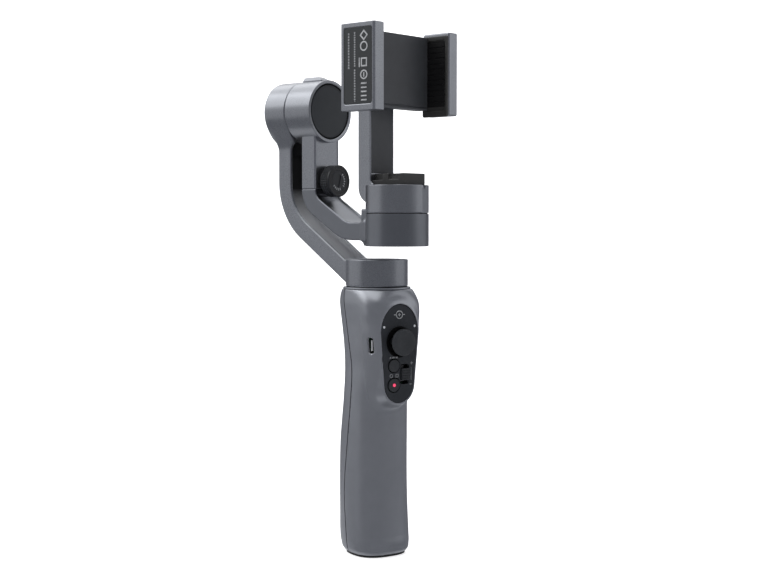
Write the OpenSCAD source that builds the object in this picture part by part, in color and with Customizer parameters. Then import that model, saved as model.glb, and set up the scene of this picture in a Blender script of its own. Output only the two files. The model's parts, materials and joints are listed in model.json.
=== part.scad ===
// Handheld three-axis phone gimbal: a battery handle, three hollow-shaft motors on two
// bent arms, a telescopic inner arm with a lock knob, and a spring phone clamp.
// The origin is the foot of the handle on the pan axis, +Z is up, and the clamp faces -Y.

/* [Handle] */
// Height of the handle from its foot to the rim under the pan motor
handle_h = 151; // [150:0.25:151]
// Turn of the handle about the pan axis, away from the clamp's direction
handle_turn = -15; // [-30:1:30]
// Thickness of the two handle shells
shell_t = 2; // [1.6:0.1:2.2]
// Radius of the rim under the pan motor
rim_r = 19.1; // [18.8:0.1:19.4]
// Distance of the shells' seam behind the pan axis
seam_y = 4; // [2:0.5:5]

/* [Control panel] */
// Radius of the panel's convex front, seen from the side
panel_bow_r = 900; // [600:50:1200]
// Distance of the panel's crest in front of the pan axis
panel_front = 22.5; // [22.4:0.1:22.7]
// Height of the crest above the foot
panel_crest_z = 120; // [116:1:124]
// Width of the egg-shaped panel at its widest
panel_w = 24.4; // [23.6:0.2:24.8]
// Thickness of the panel
panel_t = 2; // [1.6:0.1:2.2]
// Height of the joystick above the foot
joystick_z = 121.3; // [120.5:0.1:122]
// Radius of the joystick's cap
joystick_r = 7.5; // [7:0.1:7.8]
// Height of the mode button above the foot
mode_z = 108.2; // [107.6:0.1:108.4]
// Height of the power button above the foot
power_z = 97.5; // [97:0.1:98]
// Height of the zoom slider above the foot
zoom_z = 103.3; // [103:0.1:104]
// Clearance around each button and slider
button_gap = 0.2; // [0.15:0.05:0.3]

/* [Motors] */
// Outer radius of the pan motor
pan_r = 17.5; // [17.3:0.1:17.6]
// Height of the pan motor's ring
pan_h = 15.1; // [15:0.1:15.2]
// Outer radius of the roll motor
roll_r = 17.9; // [17.7:0.1:18]
// Height of the roll axis above the foot
roll_z = 251.1; // [251:0.1:252]
// Outer radius of the tilt motor
tilt_r = 17.6; // [17.4:0.1:17.7]
// Distance of the tilt axis in front of the pan axis
tilt_y = -15; // [-15.2:0.1:-14.8]
// Wall of the motor housings
motor_wall = 2; // [1.8:0.1:2.2]
// Number of magnets in each motor
magnets = 14; // [10:2:16]
// Number of stator teeth in each motor
teeth = 12; // [9:3:15]
// Radius of the motor shafts
shaft_r = 2; // [1.8:0.1:2.2]
// Radial clearance of the shafts in their bearings
shaft_gap = 0.03; // [0.02:0.01:0.08]

/* [Arms] */
// Width of the outer arm
arm_w = 20; // [19:0.5:20]
// Thickness of the outer arm
arm_t = 9.8; // [9.6:0.1:9.9]
// Slope of the outer arm's lower stretch, in degrees
arm_slope = 34.6; // [34:0.1:35]
// Radius of the outer arm's bend
arm_bend_r = 34; // [30:1:36]
// Depth of the channel in the outer arm
channel_d = 5; // [4:0.5:5]
// Width of the inner arm
rod_w = 20.4; // [20:0.1:20.6]
// Width of the upright behind the clamp
upright_w = 20.2; // [19.8:0.2:20.4]
// Radius of the lock knob
knob_r = 9.2; // [9:0.05:9.3]

/* [Clamp] */
// Height of the clamp's turning axis above the foot
pivot_z = 270.4; // [270:0.1:271]
// Height of the two jaws
jaw_h = 46.6; // [45:0.2:47]
// Opening between the jaws when closed
jaw_opening = 54.7; // [54:0.1:55]
// Thickness of the fixed jaw
jaw_t = 8; // [7.6:0.1:8]
// Depth of the fixed jaw
jaw_d = 23.7; // [23:0.1:24]

/* [Hidden] */
$fn = 64;

// Gap between parts that turn past each other
run_gap = 0.3;
// A cut's overshoot past a face
past = 1;

metal_gray = [0.44, 0.455, 0.48];
panel_black = [0.14, 0.15, 0.165];
deep_black = [0.06, 0.06, 0.07];
steel = [0.72, 0.73, 0.75];
copper = [0.72, 0.45, 0.2];
board_green = [0.05, 0.3, 0.15];

// Pan motor heights
ring_z0 = handle_h + 0.45;
ring_z1 = ring_z0 + pan_h;
pan_bore = pan_r - motor_wall;

// Roll motor places along Y
roll_front = 35.5;
roll_seam = 55.2;
roll_rear = 72;
roll_bore = roll_r - motor_wall;

// Tilt motor heights
tilt_z0 = 173.9;
tilt_seam = 192.25;
tilt_z1 = 207.8;
tilt_bore = tilt_r - motor_wall;

// Motor post that carries the stator and holds the bearings
post_r = 5.5;
bearing_r = 4;

// Sleeve and stem of the telescopic inner arm
sleeve_front = 38.05;
sleeve_back = 49.2;
sleeve_z0 = 206.5;
stem_front = 39.7;
stem_back = 47.5;
stem_w = 15.4;
knob_z = 210.9;
knob_front = 28.7;

// Upright and clamp places along Y
upright_front = -4;
upright_back = 5.1;
plate_front = -15;
plate_back = -7;
jaw_front = -29.5;

// ---- Shared shapes ----

// Rectangle with round corners
module round_rect(w, h, r) {
  square([w, h - 2 * r], center = true);
  square([w - 2 * r, h], center = true);
  for (sx = [-1, 1]) {
    for (sy = [-1, 1]) {
      translate([sx * (w / 2 - r), sy * (h / 2 - r)]) circle(r);
    }
  }
}

// Profile in the Y-Z plane, extruded across X from x0 to x1
module across_x(x0, x1) {
  translate([x0, 0, 0]) rotate([90, 0, 90]) linear_extrude(x1 - x0) children();
}

// Cylinder along Y on the roll axis or at another height
module rod_y(r, y0, y1, z = roll_z) {
  translate([0, y0, z]) rotate([-90, 0, 0]) cylinder(r = r, h = y1 - y0);
}

// Vertical cylinder
module rod_z(r, z0, z1, y = 0) {
  translate([0, y, z0]) cylinder(r = r, h = z1 - z0);
}

// Box given by its lowest and highest corners
module box(low, high) {
  translate(low) cube(high - low);
}

// A path point is [along, up, heading]; these functions move it
function ahead(p, d) = [p[0] + d * cos(p[2]), p[1] + d * sin(p[2]), p[2]];
function bend(p, r, angle, steps) = [
  for (i = [1:steps])
    let (s = sign(angle), cx = p[0] - s * r * sin(p[2]), cy = p[1] + s * r * cos(p[2]))
    let (h = p[2] + angle * i / steps)
    [cx + s * r * sin(h), cy - s * r * cos(h), h]
];
function end_of(path) = path[len(path) - 1];
function left_of(p, d) = [p[0] - d * sin(p[2]), p[1] + d * cos(p[2])];

// Outline between two distances to the left of a path
function band(path, inner, outer) = concat(
  [for (p = path) left_of(p, outer)],
  [for (i = [len(path) - 1:-1:0]) left_of(path[i], inner)]
);

// ---- Motor internals, all built upwards from z = 0 ----

module motor_stator(r, h) {
  linear_extrude(h) difference() {
    union() {
      circle(post_r + 2.2);
      for (i = [0:teeth - 1]) {
        rotate(360 / teeth * i) translate([post_r + 1, -0.9]) square([r - post_r - 2, 1.8]);
      }
      difference() {
        circle(r);
        circle(r - 1.1);
      }
    }
    circle(post_r);
    for (i = [0:teeth - 1]) {
      rotate(360 / teeth * (i + 0.5)) translate([r - 2, -0.5]) square([3, 1]);
    }
  }
}

module motor_magnets(r, h) {
  linear_extrude(h) difference() {
    circle(r);
    circle(r - 1.7);
    for (i = [0:magnets - 1]) {
      rotate(360 / magnets * i) translate([r - 3, -0.25]) square([4, 0.5]);
    }
  }
}

module motor_bearing(h) {
  difference() {
    cylinder(r = bearing_r, h = h);
    translate([0, 0, -past]) cylinder(r = shaft_r + shaft_gap, h = h + 2 * past);
  }
}

// ---- Handle ----

// Sections of the handle: height, half width, front depth, rear depth, front squareness
grip_sections = [
  [1.2, 15.8, 14, 18.6, 2.5], [2.6, 16.9, 15.2, 20.6, 2.5], [6, 17.5, 15.9, 22.6, 2.5],
  [12, 17.6, 15.4, 23.8, 2.5], [22, 17.4, 14.6, 24, 2.5], [34, 17.2, 13.9, 24, 2.5],
  [50, 17, 13.8, 23.4, 2.5], [66, 17, 14, 21.6, 2.5], [78, 17, 14.2, 19, 2.5],
  [87, 17, 14.8, 17, 2.5], [92, 17, 16.6, 16.2, 2.5], [98, 17, 19.4, 15.2, 2.6],
  [108, 17, 21.6, 14.8, 3], [118, 17.6, 22.1, 15.1, 3.4], [129, 18.3, 22.3, 17.4, 3.8],
  [138, 19.2, 22.3, 19.6, 4], [143.5, 19.7, 22, 20.8, 3.2], [148, 19.5, 20.4, 20.4, 2.5],
  [151, rim_r, rim_r, rim_r, 2]
];
rear_squareness = 2.4;
ring_points = 48;

// Point of a section at an angle, drawn in by the wall
function grip_point(s, angle, wall, rear_power) =
  let (c = cos(angle), n = sin(angle))
  let (power = n < 0 ? s[4] : rear_power)
  let (depth = (n < 0 ? s[2] : s[3]) - wall, half = s[1] - wall)
  [half * sign(c) * pow(abs(c), 2 / power), depth * sign(n) * pow(abs(n), 2 / power)];
function rear_power(s) = s[0] > 150 ? 2 : rear_squareness;

// Closed solid through the sections whose heights lie between two limits
module grip_loft(wall, z_low, z_high) {
  rows = [for (s = grip_sections) if (s[0] >= z_low && s[0] <= z_high) s];
  last = len(rows) - 1;
  points = [
    for (s = rows)
      for (i = [0:ring_points - 1])
        let (p = grip_point(s, 360 / ring_points * i, wall, rear_power(s)))
        [p[0], p[1], s[0] * handle_h / 151]
  ];
  walls = [
    for (j = [0:last - 1])
      for (i = [0:ring_points - 1])
        let (a = j * ring_points + i, b = j * ring_points + (i + 1) % ring_points)
        [a, a + ring_points, b + ring_points, b]
  ];
  floor_ring = [for (i = [0:ring_points - 1]) i];
  top_ring = [for (i = [0:ring_points - 1]) (last + 1) * ring_points - 1 - i];
  polyhedron(points, concat(walls, [floor_ring, top_ring]), convexity = 6);
}

// Handle parts are modelled facing -Y and turned about the pan axis
module on_handle() {
  rotate(handle_turn) children();
}

// Frame on the panel's front: x to the right, y inwards, z up along the panel
module on_panel(u, z) {
  on_handle() translate([u, panel_bow_r - panel_front, panel_crest_z])
    rotate([asin((panel_crest_z - z) / panel_bow_r), 0, 0])
      translate([0, -panel_bow_r, 0]) children();
}

// Round hole or boss along the panel's normal, from depth d0 to d1
module plug(r, d0, d1) {
  translate([0, d0, 0]) rotate([-90, 0, 0]) cylinder(r = r, h = d1 - d0);
}

// Egg-shaped outline of the panel, grown by a margin
module egg(margin) {
  upper_z = 127;
  lower_z = 98;
  lower_half = 9.6;
  polygon([
    for (a = [0:7.5:352.5])
      let (top = a < 180)
      let (half = (top ? panel_w / 2 : lower_half) + margin)
      let (rise = (top ? 15.2 : 10.5) + margin)
      [half * cos(a), (top ? upper_z : lower_z) + rise * sin(a)]
  ]);
}

// The panel's body between its bowed front and a depth behind it
module panel_blank(margin, depth) {
  intersection() {
    translate([0, -past - panel_front, 0]) rotate([-90, 0, 0]) mirror([0, 1, 0])
      linear_extrude(12) egg(margin);
    translate([0, panel_bow_r - panel_front, panel_crest_z]) rotate([0, 90, 0]) difference() {
      cylinder(r = panel_bow_r, h = 40, center = true, $fn = 360);
      cylinder(r = panel_bow_r - depth, h = 42, center = true, $fn = 360);
    }
  }
}

// Raised frame round the panel, wider at its root
module panel_frame() {
  hull() {
    for (edge = [[1, 22.1], [4.6, 14]]) {
      translate([0, -edge[1], 0]) rotate([90, 0, 0]) linear_extrude(0.1) egg(edge[0]);
    }
  }
}

// Both shells as one skin, with the openings for the panel, the port and the collar
module shell_skin() {
  difference() {
    union() {
      difference() {
        grip_loft(0, 0, 152);
        grip_loft(shell_t, 2, 149);
      }
      panel_frame();
    }
    rod_z(17.4, 147.5, 152);
    panel_pocket();
    translate([-20, port_y - 1.6, port_z - 4.4]) cube([10, 3.2, 8.8]);
    rod_z(insert_r, 0, 4);
    base_screw_places() rod_z(screw_r, 0, 4);
  }
}
port_y = -17;
port_z = 119.6;
insert_r = 4.5;
screw_r = 0.9;
screw_head_r = 1.6;

// Room behind the panel, and the space for the panel itself
module panel_pocket() {
  translate([0, -40, 0]) rotate([-90, 0, 0]) mirror([0, 1, 0]) linear_extrude(28) egg(0.15);
}

module front_shell() {
  color(metal_gray) on_handle() difference() {
    shell_skin();
    box([-30, seam_y, -past], [30, 40, 160]);
  }
}

module rear_shell() {
  color(metal_gray) on_handle() difference() {
    shell_skin();
    box([-30, -40, -past], [30, seam_y + 0.02, 160]);
  }
}

// Thin foot plate under the shells, around the thread insert
module base_plate() {
  color(deep_black) on_handle() difference() {
    linear_extrude(1.2) polygon([
      for (i = [0:ring_points - 1])
        grip_point(grip_sections[0], 360 / ring_points * i, 0.3, rear_squareness)
    ]);
    rod_z(insert_r, -past, 3);
    base_screw_places() rod_z(screw_head_r, -past, 3);
  }
}

module base_screw_places() {
  for (p = [[-9, 0], [9, 0], [0, 10.5]]) {
    translate([p[0], p[1], 0]) children();
  }
}

// Brass insert with the tripod thread's bore
module tripod_insert() {
  color("gold") difference() {
    union() {
      rod_z(insert_r, 0, 9.5);
      rod_z(insert_r + 2, 3.4, 5.4);
    }
    rod_z(2.55, -past, 8.5);
  }
}

// Screws that hold the foot plate, each with a cross recess
module base_screws() {
  color(steel) on_handle() base_screw_places() difference() {
    union() {
      rod_z(screw_head_r, 0.2, 1.2);
      rod_z(screw_r, 1.2, 6);
    }
    for (a = [0, 90]) {
      rotate(a) translate([-1, -0.2, 0]) cube([2, 0.4, 0.7]);
    }
  }
}

mode_u = -3.6;

// Black panel with its well, button holes and slider slot
module control_panel() {
  color(panel_black) difference() {
    on_handle() panel_blank(0, panel_t);
    on_panel(0, joystick_z) plug(8.6, -2, 4);
    on_panel(mode_u, mode_z) plug(3.5 + button_gap, -2, 4);
    on_panel(-3.5, power_z) plug(3.7 + button_gap, -2, 4);
    on_panel(3.6, zoom_z) translate([-2.8, -2, -5.5]) cube([5.6, 6, 11]);
    status_light_places() plug(0.7, -2, 4);
  }
}

module status_light_places() {
  on_panel(-10.2, 129.8) children();
  on_panel(10.2, 129.8) children();
}

// Light pipes either side of the joystick
module status_lights() {
  color("white") status_light_places() plug(0.7, 0, 3);
}

// Cup that carries the joystick's cradle on two pins
module joystick_housing() {
  color(deep_black) on_panel(0, joystick_z) difference() {
    union() {
      plug(8.4, 2.3, 9.8);
      plug(8.6, 0.4, 2.3);
    }
    plug(7.9, 0, 3.4);
    plug(5.9, 0, 8.6);
    translate([-7, joystick_pivot_d, 0]) rotate([0, 90, 0]) cylinder(r = 0.83, h = 14);
  }
}
joystick_pivot_d = 5.6;

// Ring that tips about the panel's width
module joystick_cradle() {
  color(steel) on_panel(0, joystick_z) {
    difference() {
      union() {
        plug(5.3, joystick_pivot_d - 1.1, joystick_pivot_d + 1.1);
        translate([-6.7, joystick_pivot_d, 0]) rotate([0, 90, 0]) cylinder(r = 0.8, h = 13.4);
      }
      plug(3.9, 0, 9);
      translate([0, joystick_pivot_d, -7]) cylinder(r = 0.83, h = 14);
    }
  }
}

// Thumb stick: domed cap with a raised rim on a stem with cross pins
module joystick_cap() {
  color(panel_black) on_panel(0, joystick_z) {
    rotate([90, 0, 0]) rotate_extrude() joystick_profile();
    translate([0, joystick_pivot_d, -4.9]) cylinder(r = 0.8, h = 9.8);
  }
}

module joystick_profile() {
  difference() {
    union() {
      translate([0, -joystick_pivot_d - 1.4]) square([1.9, joystick_pivot_d + 4]);
      translate([0, 2.3]) square([joystick_r - 1.2, 3]);
      translate([joystick_r - 1.5, 3.8]) circle(1.5);
      translate([0, 2.9]) square([joystick_r, 0.9]);
    }
    translate([0, 17.1]) circle(12.4);
    translate([-20, -20]) square([20, 60]);
  }
}

module round_button(r, foot) {
  plug(r, -0.5, 2.2);
  plug(r - 1.4, 2.2, foot);
}

module mode_button() {
  color(panel_black) on_panel(mode_u, mode_z) round_button(3.5, 3.2);
}

// Power button with a hole for its lens
module power_button() {
  color(panel_black) on_panel(-3.5, power_z) difference() {
    round_button(3.7, 3.2);
    plug(0.9, -2, 1.2);
  }
}

module power_button_lens() {
  color("red") on_panel(-3.5, power_z) plug(0.9, -0.5, 1.2);
}

// Zoom slider: ribbed thumb piece with a foot into its switch
module zoom_slider() {
  color(panel_black) on_panel(3.6, zoom_z) {
    difference() {
      translate([-2.5, -1.3, -3.3]) cube([5, 3.4, 6.6]);
      for (z = [-2.2, -0.7, 0.7, 2.2]) {
        translate([-3, -1.8, z - 0.3]) cube([6, 1, 0.6]);
      }
    }
    translate([-1, 2.1, -1]) cube([2, 1.2, 2]);
  }
}

board_front = -10;

// Board behind the control panel
module control_board() {
  color(board_green) on_handle() translate([-11.5, board_front, 90]) cube([23, 1.2, 49]);
}

// Two push switches and one slide switch, standing on the control board
module tact_switches() {
  color("dimgray") difference() {
    union() {
      on_panel(mode_u, mode_z) switch_body(4.6, 4.6, 3.9);
      on_panel(-3.5, power_z) switch_body(4.6, 4.6, 3.9);
      on_panel(3.6, zoom_z) switch_body(3.6, 9, 3.6);
    }
    on_handle() box([-30, board_front, 60], [30, 20, 150]);
  }
}

module switch_body(w, h, depth) {
  translate([-w / 2, depth, -h / 2]) cube([w, 14, h]);
}

// Charging inlet in the handle's side
module usb_port() {
  color(steel) on_handle() translate([-14.4, port_y, port_z]) rotate([0, 90, 0]) difference() {
    linear_extrude(4.6) round_rect(7.8, 2.8, 0.8);
    translate([0, 0, -past]) linear_extrude(4.6) round_rect(7, 2, 0.6);
    translate([0, 0, 3]) cube([6, 0.5, 3], center = true);
  }
}

// Board in front of the battery
module main_board() {
  color(board_green) on_handle() translate([-9, -9.2, 15]) cube([18, 1.2, 65]);
}

cell_y = 4.6;
cell_z = 13;
cell_h = 65;

// Round battery cell with its positive cap
module battery_cell() {
  color("royalblue") on_handle() {
    rod_z(9.2, cell_z, cell_z + cell_h, cell_y);
    rod_z(3, cell_z + cell_h, cell_z + cell_h + 1, cell_y);
  }
}

// Two rails and two end plates around the cell
module battery_holder() {
  color(deep_black) on_handle() difference() {
    box([-9.9, -4, cell_z - 2], [9.9, 12.5, cell_z + cell_h + 2.8]);
    box([-7.5, -6, cell_z], [7.5, 20, cell_z + cell_h + 1]);
    box([-12, -6, cell_z], [12, 2, cell_z + cell_h + 1]);
    rod_z(9.2, cell_z, cell_z + cell_h + 1, cell_y);
  }
}

// Collar that closes the handle and carries the pan motor's post
module neck_collar() {
  color(steel) difference() {
    union() {
      rod_z(17.3, handle_h - 3.2, handle_h + 0.15);
      rod_z(post_r, handle_h, ring_z1 - 4.3);
    }
    rod_z(bearing_r, handle_h - 4, ring_z1);
  }
}

module pan_stator() {
  color(copper) translate([0, 0, handle_h + 1.6]) motor_stator(pan_bore - 2.2, 8.6);
}

module pan_bearings() {
  color(steel) {
    translate([0, 0, handle_h - 2.6]) motor_bearing(3);
    translate([0, 0, ring_z1 - 7.5]) motor_bearing(3);
  }
}

// ---- Outer arm: pan ring, bent channel and roll motor cup in one casting ----

arm_y = 63;
arm_knee_z = 192.7;
arm_tangent = arm_bend_r * tan((90 - arm_slope) / 2);
arm_bend_start = [
  arm_y - arm_tangent * cos(arm_slope), arm_knee_z - arm_tangent * sin(arm_slope), arm_slope
];

// Centre line of the arm from the ring to a height on its upright stretch
function arm_path(start_y, top_z) =
  let (curve = bend(arm_bend_start, arm_bend_r, 90 - arm_slope, 12))
  concat(
    [ahead(arm_bend_start, -(arm_bend_start[0] - start_y) / cos(arm_slope)), arm_bend_start],
    curve,
    [ahead(end_of(curve), top_z - end_of(curve)[1])]
  );

module outer_arm() {
  color(metal_gray) difference() {
    union() {
      rod_z(pan_r, ring_z0, ring_z1);
      across_x(-arm_w / 2, arm_w / 2) polygon(band(arm_path(13, roll_z), -arm_t / 2, arm_t / 2));
      rod_y(roll_r, roll_seam + run_gap / 2, roll_rear);
    }
    rod_z(pan_bore, ring_z0 - past, ring_z1 + 10);
    arm_channel();
    rod_y(roll_bore, roll_seam - 8, roll_rear - 3.5);
    rod_y(roll_bore, roll_rear - 1.2, roll_rear + past);
    rod_y(bearing_r, roll_seam, roll_rear);
  }
  color(metal_gray) difference() {
    rod_y(post_r, roll_front + 5.4, roll_rear - 3.5);
    rod_y(bearing_r, roll_front, roll_rear);
  }
}

channel_wall = 1.6;

// The channel along the arm's inner face
module arm_channel() {
  across_x(-arm_w / 2 + channel_wall, arm_w / 2 - channel_wall)
    polygon(band(arm_path(21.5, roll_z - roll_r - 1.2), arm_t / 2 - channel_d, arm_t / 2 + 0.2));
}

// Thin black strip on the channel's floor
module arm_inner_cover() {
  color(deep_black) across_x(-arm_w / 2 + channel_wall, arm_w / 2 - channel_wall)
    polygon(band(
      arm_path(21.5, roll_z - roll_r - 1.2), arm_t / 2 - channel_d, arm_t / 2 - channel_d + 1
    ));
}

module pan_cap() {
  color(metal_gray) difference() {
    rod_z(pan_bore, ring_z1 - 3.4, ring_z1 - 0.8);
    rod_z(shaft_r, ring_z1 - 5, ring_z1 - 1.6);
  }
}

module pan_magnets() {
  color(steel) translate([0, 0, handle_h + 1.6]) motor_magnets(pan_bore, 8.6);
}

module pan_shaft() {
  color(steel) rod_z(shaft_r, handle_h - 2.6, ring_z1 - 1.6);
}

module roll_rear_cap() {
  color(metal_gray) rod_y(roll_bore, roll_rear - 1.2, roll_rear - 0.1);
}

module roll_stator() {
  color(copper) translate([0, roll_front + 7, roll_z]) rotate([-90, 0, 0])
    motor_stator(roll_bore - 2.2, 11.5);
}

module roll_bearings() {
  color(steel) translate([0, 0, roll_z]) rotate([-90, 0, 0]) {
    translate([0, 0, roll_front + 6]) motor_bearing(3);
    translate([0, 0, roll_rear - 6.5]) motor_bearing(3);
  }
}

// ---- Roll arm: front motor housing with the inner arm's sleeve ----

module roll_housing() {
  color(metal_gray) difference() {
    rod_y(roll_r, roll_front, roll_seam - run_gap / 2);
    rod_y(roll_r - 1.4, roll_front - past, roll_front + 1.7);
    rod_y(roll_bore, roll_front + 4, roll_seam);
    rod_y(shaft_r, roll_front, roll_seam);
  }
}

module slide_sleeve() {
  color(metal_gray) difference() {
    translate([0, (sleeve_front + sleeve_back) / 2, sleeve_z0]) linear_extrude(roll_z - sleeve_z0)
      round_rect(20.6, sleeve_back - sleeve_front, 1);
    translate([-stem_w / 2 - 0.1, stem_front - 0.1, sleeve_z0 - past])
      cube([stem_w + 0.2, stem_back - stem_front + 0.2, 27.5]);
    rod_y(roll_r, roll_front, roll_seam);
    rod_y(2.55, sleeve_front - past, stem_front, knob_z);
  }
}

module roll_cover_disc() {
  color(panel_black) rod_y(roll_r - 1.6, roll_front + 0.5, roll_front + 1.7);
}

module roll_magnets() {
  color(steel) translate([0, roll_front + 7, roll_z]) rotate([-90, 0, 0])
    motor_magnets(roll_bore, 11.5);
}

module roll_shaft() {
  color(steel) rod_y(shaft_r, roll_front + 1.7, roll_rear - 3.5);
}

// Small stop block on top of the housing, bevelled at its front
module roll_top_block() {
  top = roll_z + roll_r + 2.3;
  color(metal_gray) difference() {
    across_x(-4, 4) polygon([
      [39, top - 8], [39, top - 2.6], [43.5, top], [53.8, top], [53.8, top - 8]
    ]);
    rod_y(roll_r, roll_front, roll_seam);
  }
}

// ---- Lock knob ----

knob_seat = 35.3;
knob_grooves = 36;

module lock_knob() {
  color(deep_black) difference() {
    union() {
      translate([0, knob_front, knob_z]) rotate([-90, 0, 0]) linear_extrude(knob_seat - knob_front)
        difference() {
          circle(knob_r);
          for (i = [0:knob_grooves - 1]) {
            rotate(360 / knob_grooves * i) translate([knob_r + 0.1, 0]) rotate(45)
              square(0.7, center = true);
          }
        }
      rod_y(5, knob_seat, sleeve_front - 0.15, knob_z);
      rod_y(2.5, sleeve_front - 0.15, stem_front - 0.08, knob_z);
    }
    rod_y(5.8, knob_front - past, knob_front + 1, knob_z);
  }
}

// Cap in the knob's face with a raised grip bar
module knob_cap() {
  color(panel_black) {
    rod_y(5.8, knob_front + 0.3, knob_front + 1, knob_z);
    translate([0, knob_front + 0.15, knob_z]) rotate([90, 0, 0]) rotate(75)
      translate([0, 0, -0.3]) linear_extrude(0.4) round_rect(7.6, 2, 0.9);
  }
}

// ---- Slide arm: telescopic stem, J-shaped rod and lower half of the tilt motor ----

rod_top = sleeve_z0 - 0.3;
rod_start = [43.6, rod_top, -90];
rod_half_top = 5.5;
rod_half_low = 5.05;
rod_slope = 32;
rod_level = 182.15;

// Centre line: down, forward along the slope, then level to the motor
function rod_path() =
  let (first = bend(rod_start, 12, -(90 - rod_slope), 8))
  let (knee = end_of(first))
  let (drop = knee[1] - rod_level - 20 * (1 - cos(rod_slope)))
  let (slope_end = ahead(knee, drop / sin(rod_slope)))
  let (second = bend(slope_end, 20, -rod_slope, 5))
  concat([rod_start], first, [slope_end], second, [ahead(end_of(second), end_of(second)[0] + 3)]);

// Outline whose half thickness changes evenly from one end to the other
function tapered_band(path, start_half, end_half) =
  let (n = len(path) - 1)
  concat(
    [for (i = [0:n]) left_of(path[i], start_half + (end_half - start_half) * i / n)],
    [for (i = [n:-1:0]) left_of(path[i], -(start_half + (end_half - start_half) * i / n))]
  );

module slide_rod() {
  color(metal_gray) difference() {
    union() {
      across_x(-rod_w / 2, rod_w / 2)
        polygon(tapered_band(rod_path(), rod_half_top, rod_half_low));
      translate([-stem_w / 2, stem_front, rod_top - 2])
        cube([stem_w, stem_back - stem_front, 24]);
      box([-7, -3, rod_level], [7, 5.9, 194.8]);
    }
    rod_z(tilt_r, tilt_z0 - past, tilt_seam, tilt_y);
    rod_z(tilt_r + run_gap, tilt_seam - 1, 200, tilt_y);
    rod_y(knob_r + 0.4, knob_front, sleeve_front - 0.1, knob_z);
  }
}

module tilt_lower_housing() {
  color(metal_gray) {
    difference() {
      rod_z(tilt_r, tilt_z0, tilt_seam - run_gap / 2, tilt_y);
      rod_z(tilt_r - 1.4, tilt_z0 - past, tilt_z0 + 1.1, tilt_y);
      rod_z(tilt_bore, tilt_z0 + 3.1, tilt_seam, tilt_y);
      rod_z(bearing_r, tilt_z0, tilt_seam, tilt_y);
    }
    difference() {
      rod_z(post_r, tilt_z0 + 3.1, tilt_z1 - 3.6, tilt_y);
      rod_z(bearing_r, tilt_z0, tilt_z1, tilt_y);
    }
  }
}

module tilt_stator() {
  color(copper) translate([0, tilt_y, tilt_seam + 1.2]) motor_stator(tilt_bore - 2.2, 9.6);
}

module tilt_bearings() {
  color(steel) translate([0, tilt_y, 0]) {
    translate([0, 0, tilt_z0 + 1.5]) motor_bearing(3);
    translate([0, 0, tilt_z1 - 7]) motor_bearing(3);
  }
}

module tilt_bottom_cap() {
  color(panel_black) rod_z(tilt_r - 1.5, tilt_z0 + 0.1, tilt_z0 + 1.1, tilt_y);
}

// ---- Tilt head: upper half of the tilt motor, upright, rest and clamp pivot ----

module tilt_upper_housing() {
  color(metal_gray) difference() {
    rod_z(tilt_r, tilt_seam + run_gap / 2, tilt_z1, tilt_y);
    rod_z(tilt_bore, tilt_seam, tilt_z1 - 2.5, tilt_y);
    rod_z(shaft_r, tilt_seam, tilt_z1 - 0.8, tilt_y);
  }
}

module tilt_magnets() {
  color(steel) translate([0, tilt_y, tilt_seam + 1.2]) motor_magnets(tilt_bore, 9.6);
}

module tilt_shaft() {
  color(steel) rod_z(shaft_r, tilt_z0 + 1.5, tilt_z1 - 0.8, tilt_y);
}

upright_t = upright_back - upright_front;
upright_toe_z = tilt_z1 - 1.1;

// Upright with a curled toe behind the motor and a round top at the pivot
module upright_arm() {
  color(metal_gray) difference() {
    union() {
      across_x(-upright_w / 2, upright_w / 2) intersection() {
        union() {
          translate([upright_front, upright_toe_z]) square([upright_t, pivot_z - upright_toe_z]);
          translate([upright_front, upright_toe_z]) circle(upright_t);
        }
        translate([upright_front, 100]) square([20, 300]);
      }
      rod_y(upright_w / 2, upright_front, upright_back, pivot_z);
    }
    rod_z(tilt_r, 150, tilt_z1, tilt_y);
    upright_cover_blank();
  }
}

// Room of the cover in the upright's front
module upright_cover_blank() {
  translate([0, upright_front + 1.2, 0]) rotate([90, 0, 0]) translate([0, 236, 0])
    linear_extrude(1.2) round_rect(18.6, 43, 1);
}

module upright_cover() {
  color(panel_black) upright_cover_blank();
}

// Rest for the phone's edge on top of the motor, notched at its rear corners
module phone_rest() {
  rest_h = 6.4;
  rest_front = -27.7;
  rest_d = upright_front - rest_front;
  color(deep_black) translate([0, rest_front, tilt_z1]) difference() {
    linear_extrude(rest_h) polygon([
      [-9, 1.2], [-7.8, 0], [7.8, 0], [9, 1.2], [9, rest_d], [-9, rest_d]
    ]);
    for (s = [-1, 1]) {
      translate([s * 9 - 2.5, 15.7, 2.9]) cube([5, rest_d, 4]);
    }
    translate([-4.5, 6, 5]) cube([9, 9, 3]);
  }
}

// Hub and pin that the clamp turns on
module clamp_pivot() {
  color(steel) {
    rod_y(8.5, plate_back + run_gap, upright_front, pivot_z);
    rod_y(3, plate_back - 2.4, plate_back + run_gap, pivot_z);
  }
}

// ---- Clamp ----

jaw_inner = jaw_opening / 2;
clamp_shift = -0.55;
fixed_inner = clamp_shift - jaw_inner;
moving_inner = clamp_shift + jaw_inner;
jaw_low = pivot_z - jaw_h / 2;
jaw_high = pivot_z + jaw_h / 2;
jaw_mid_y = jaw_front + jaw_d / 2;
pad_front = -28;
pad_back = -17.2;
tongue_w = 17.4;

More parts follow.
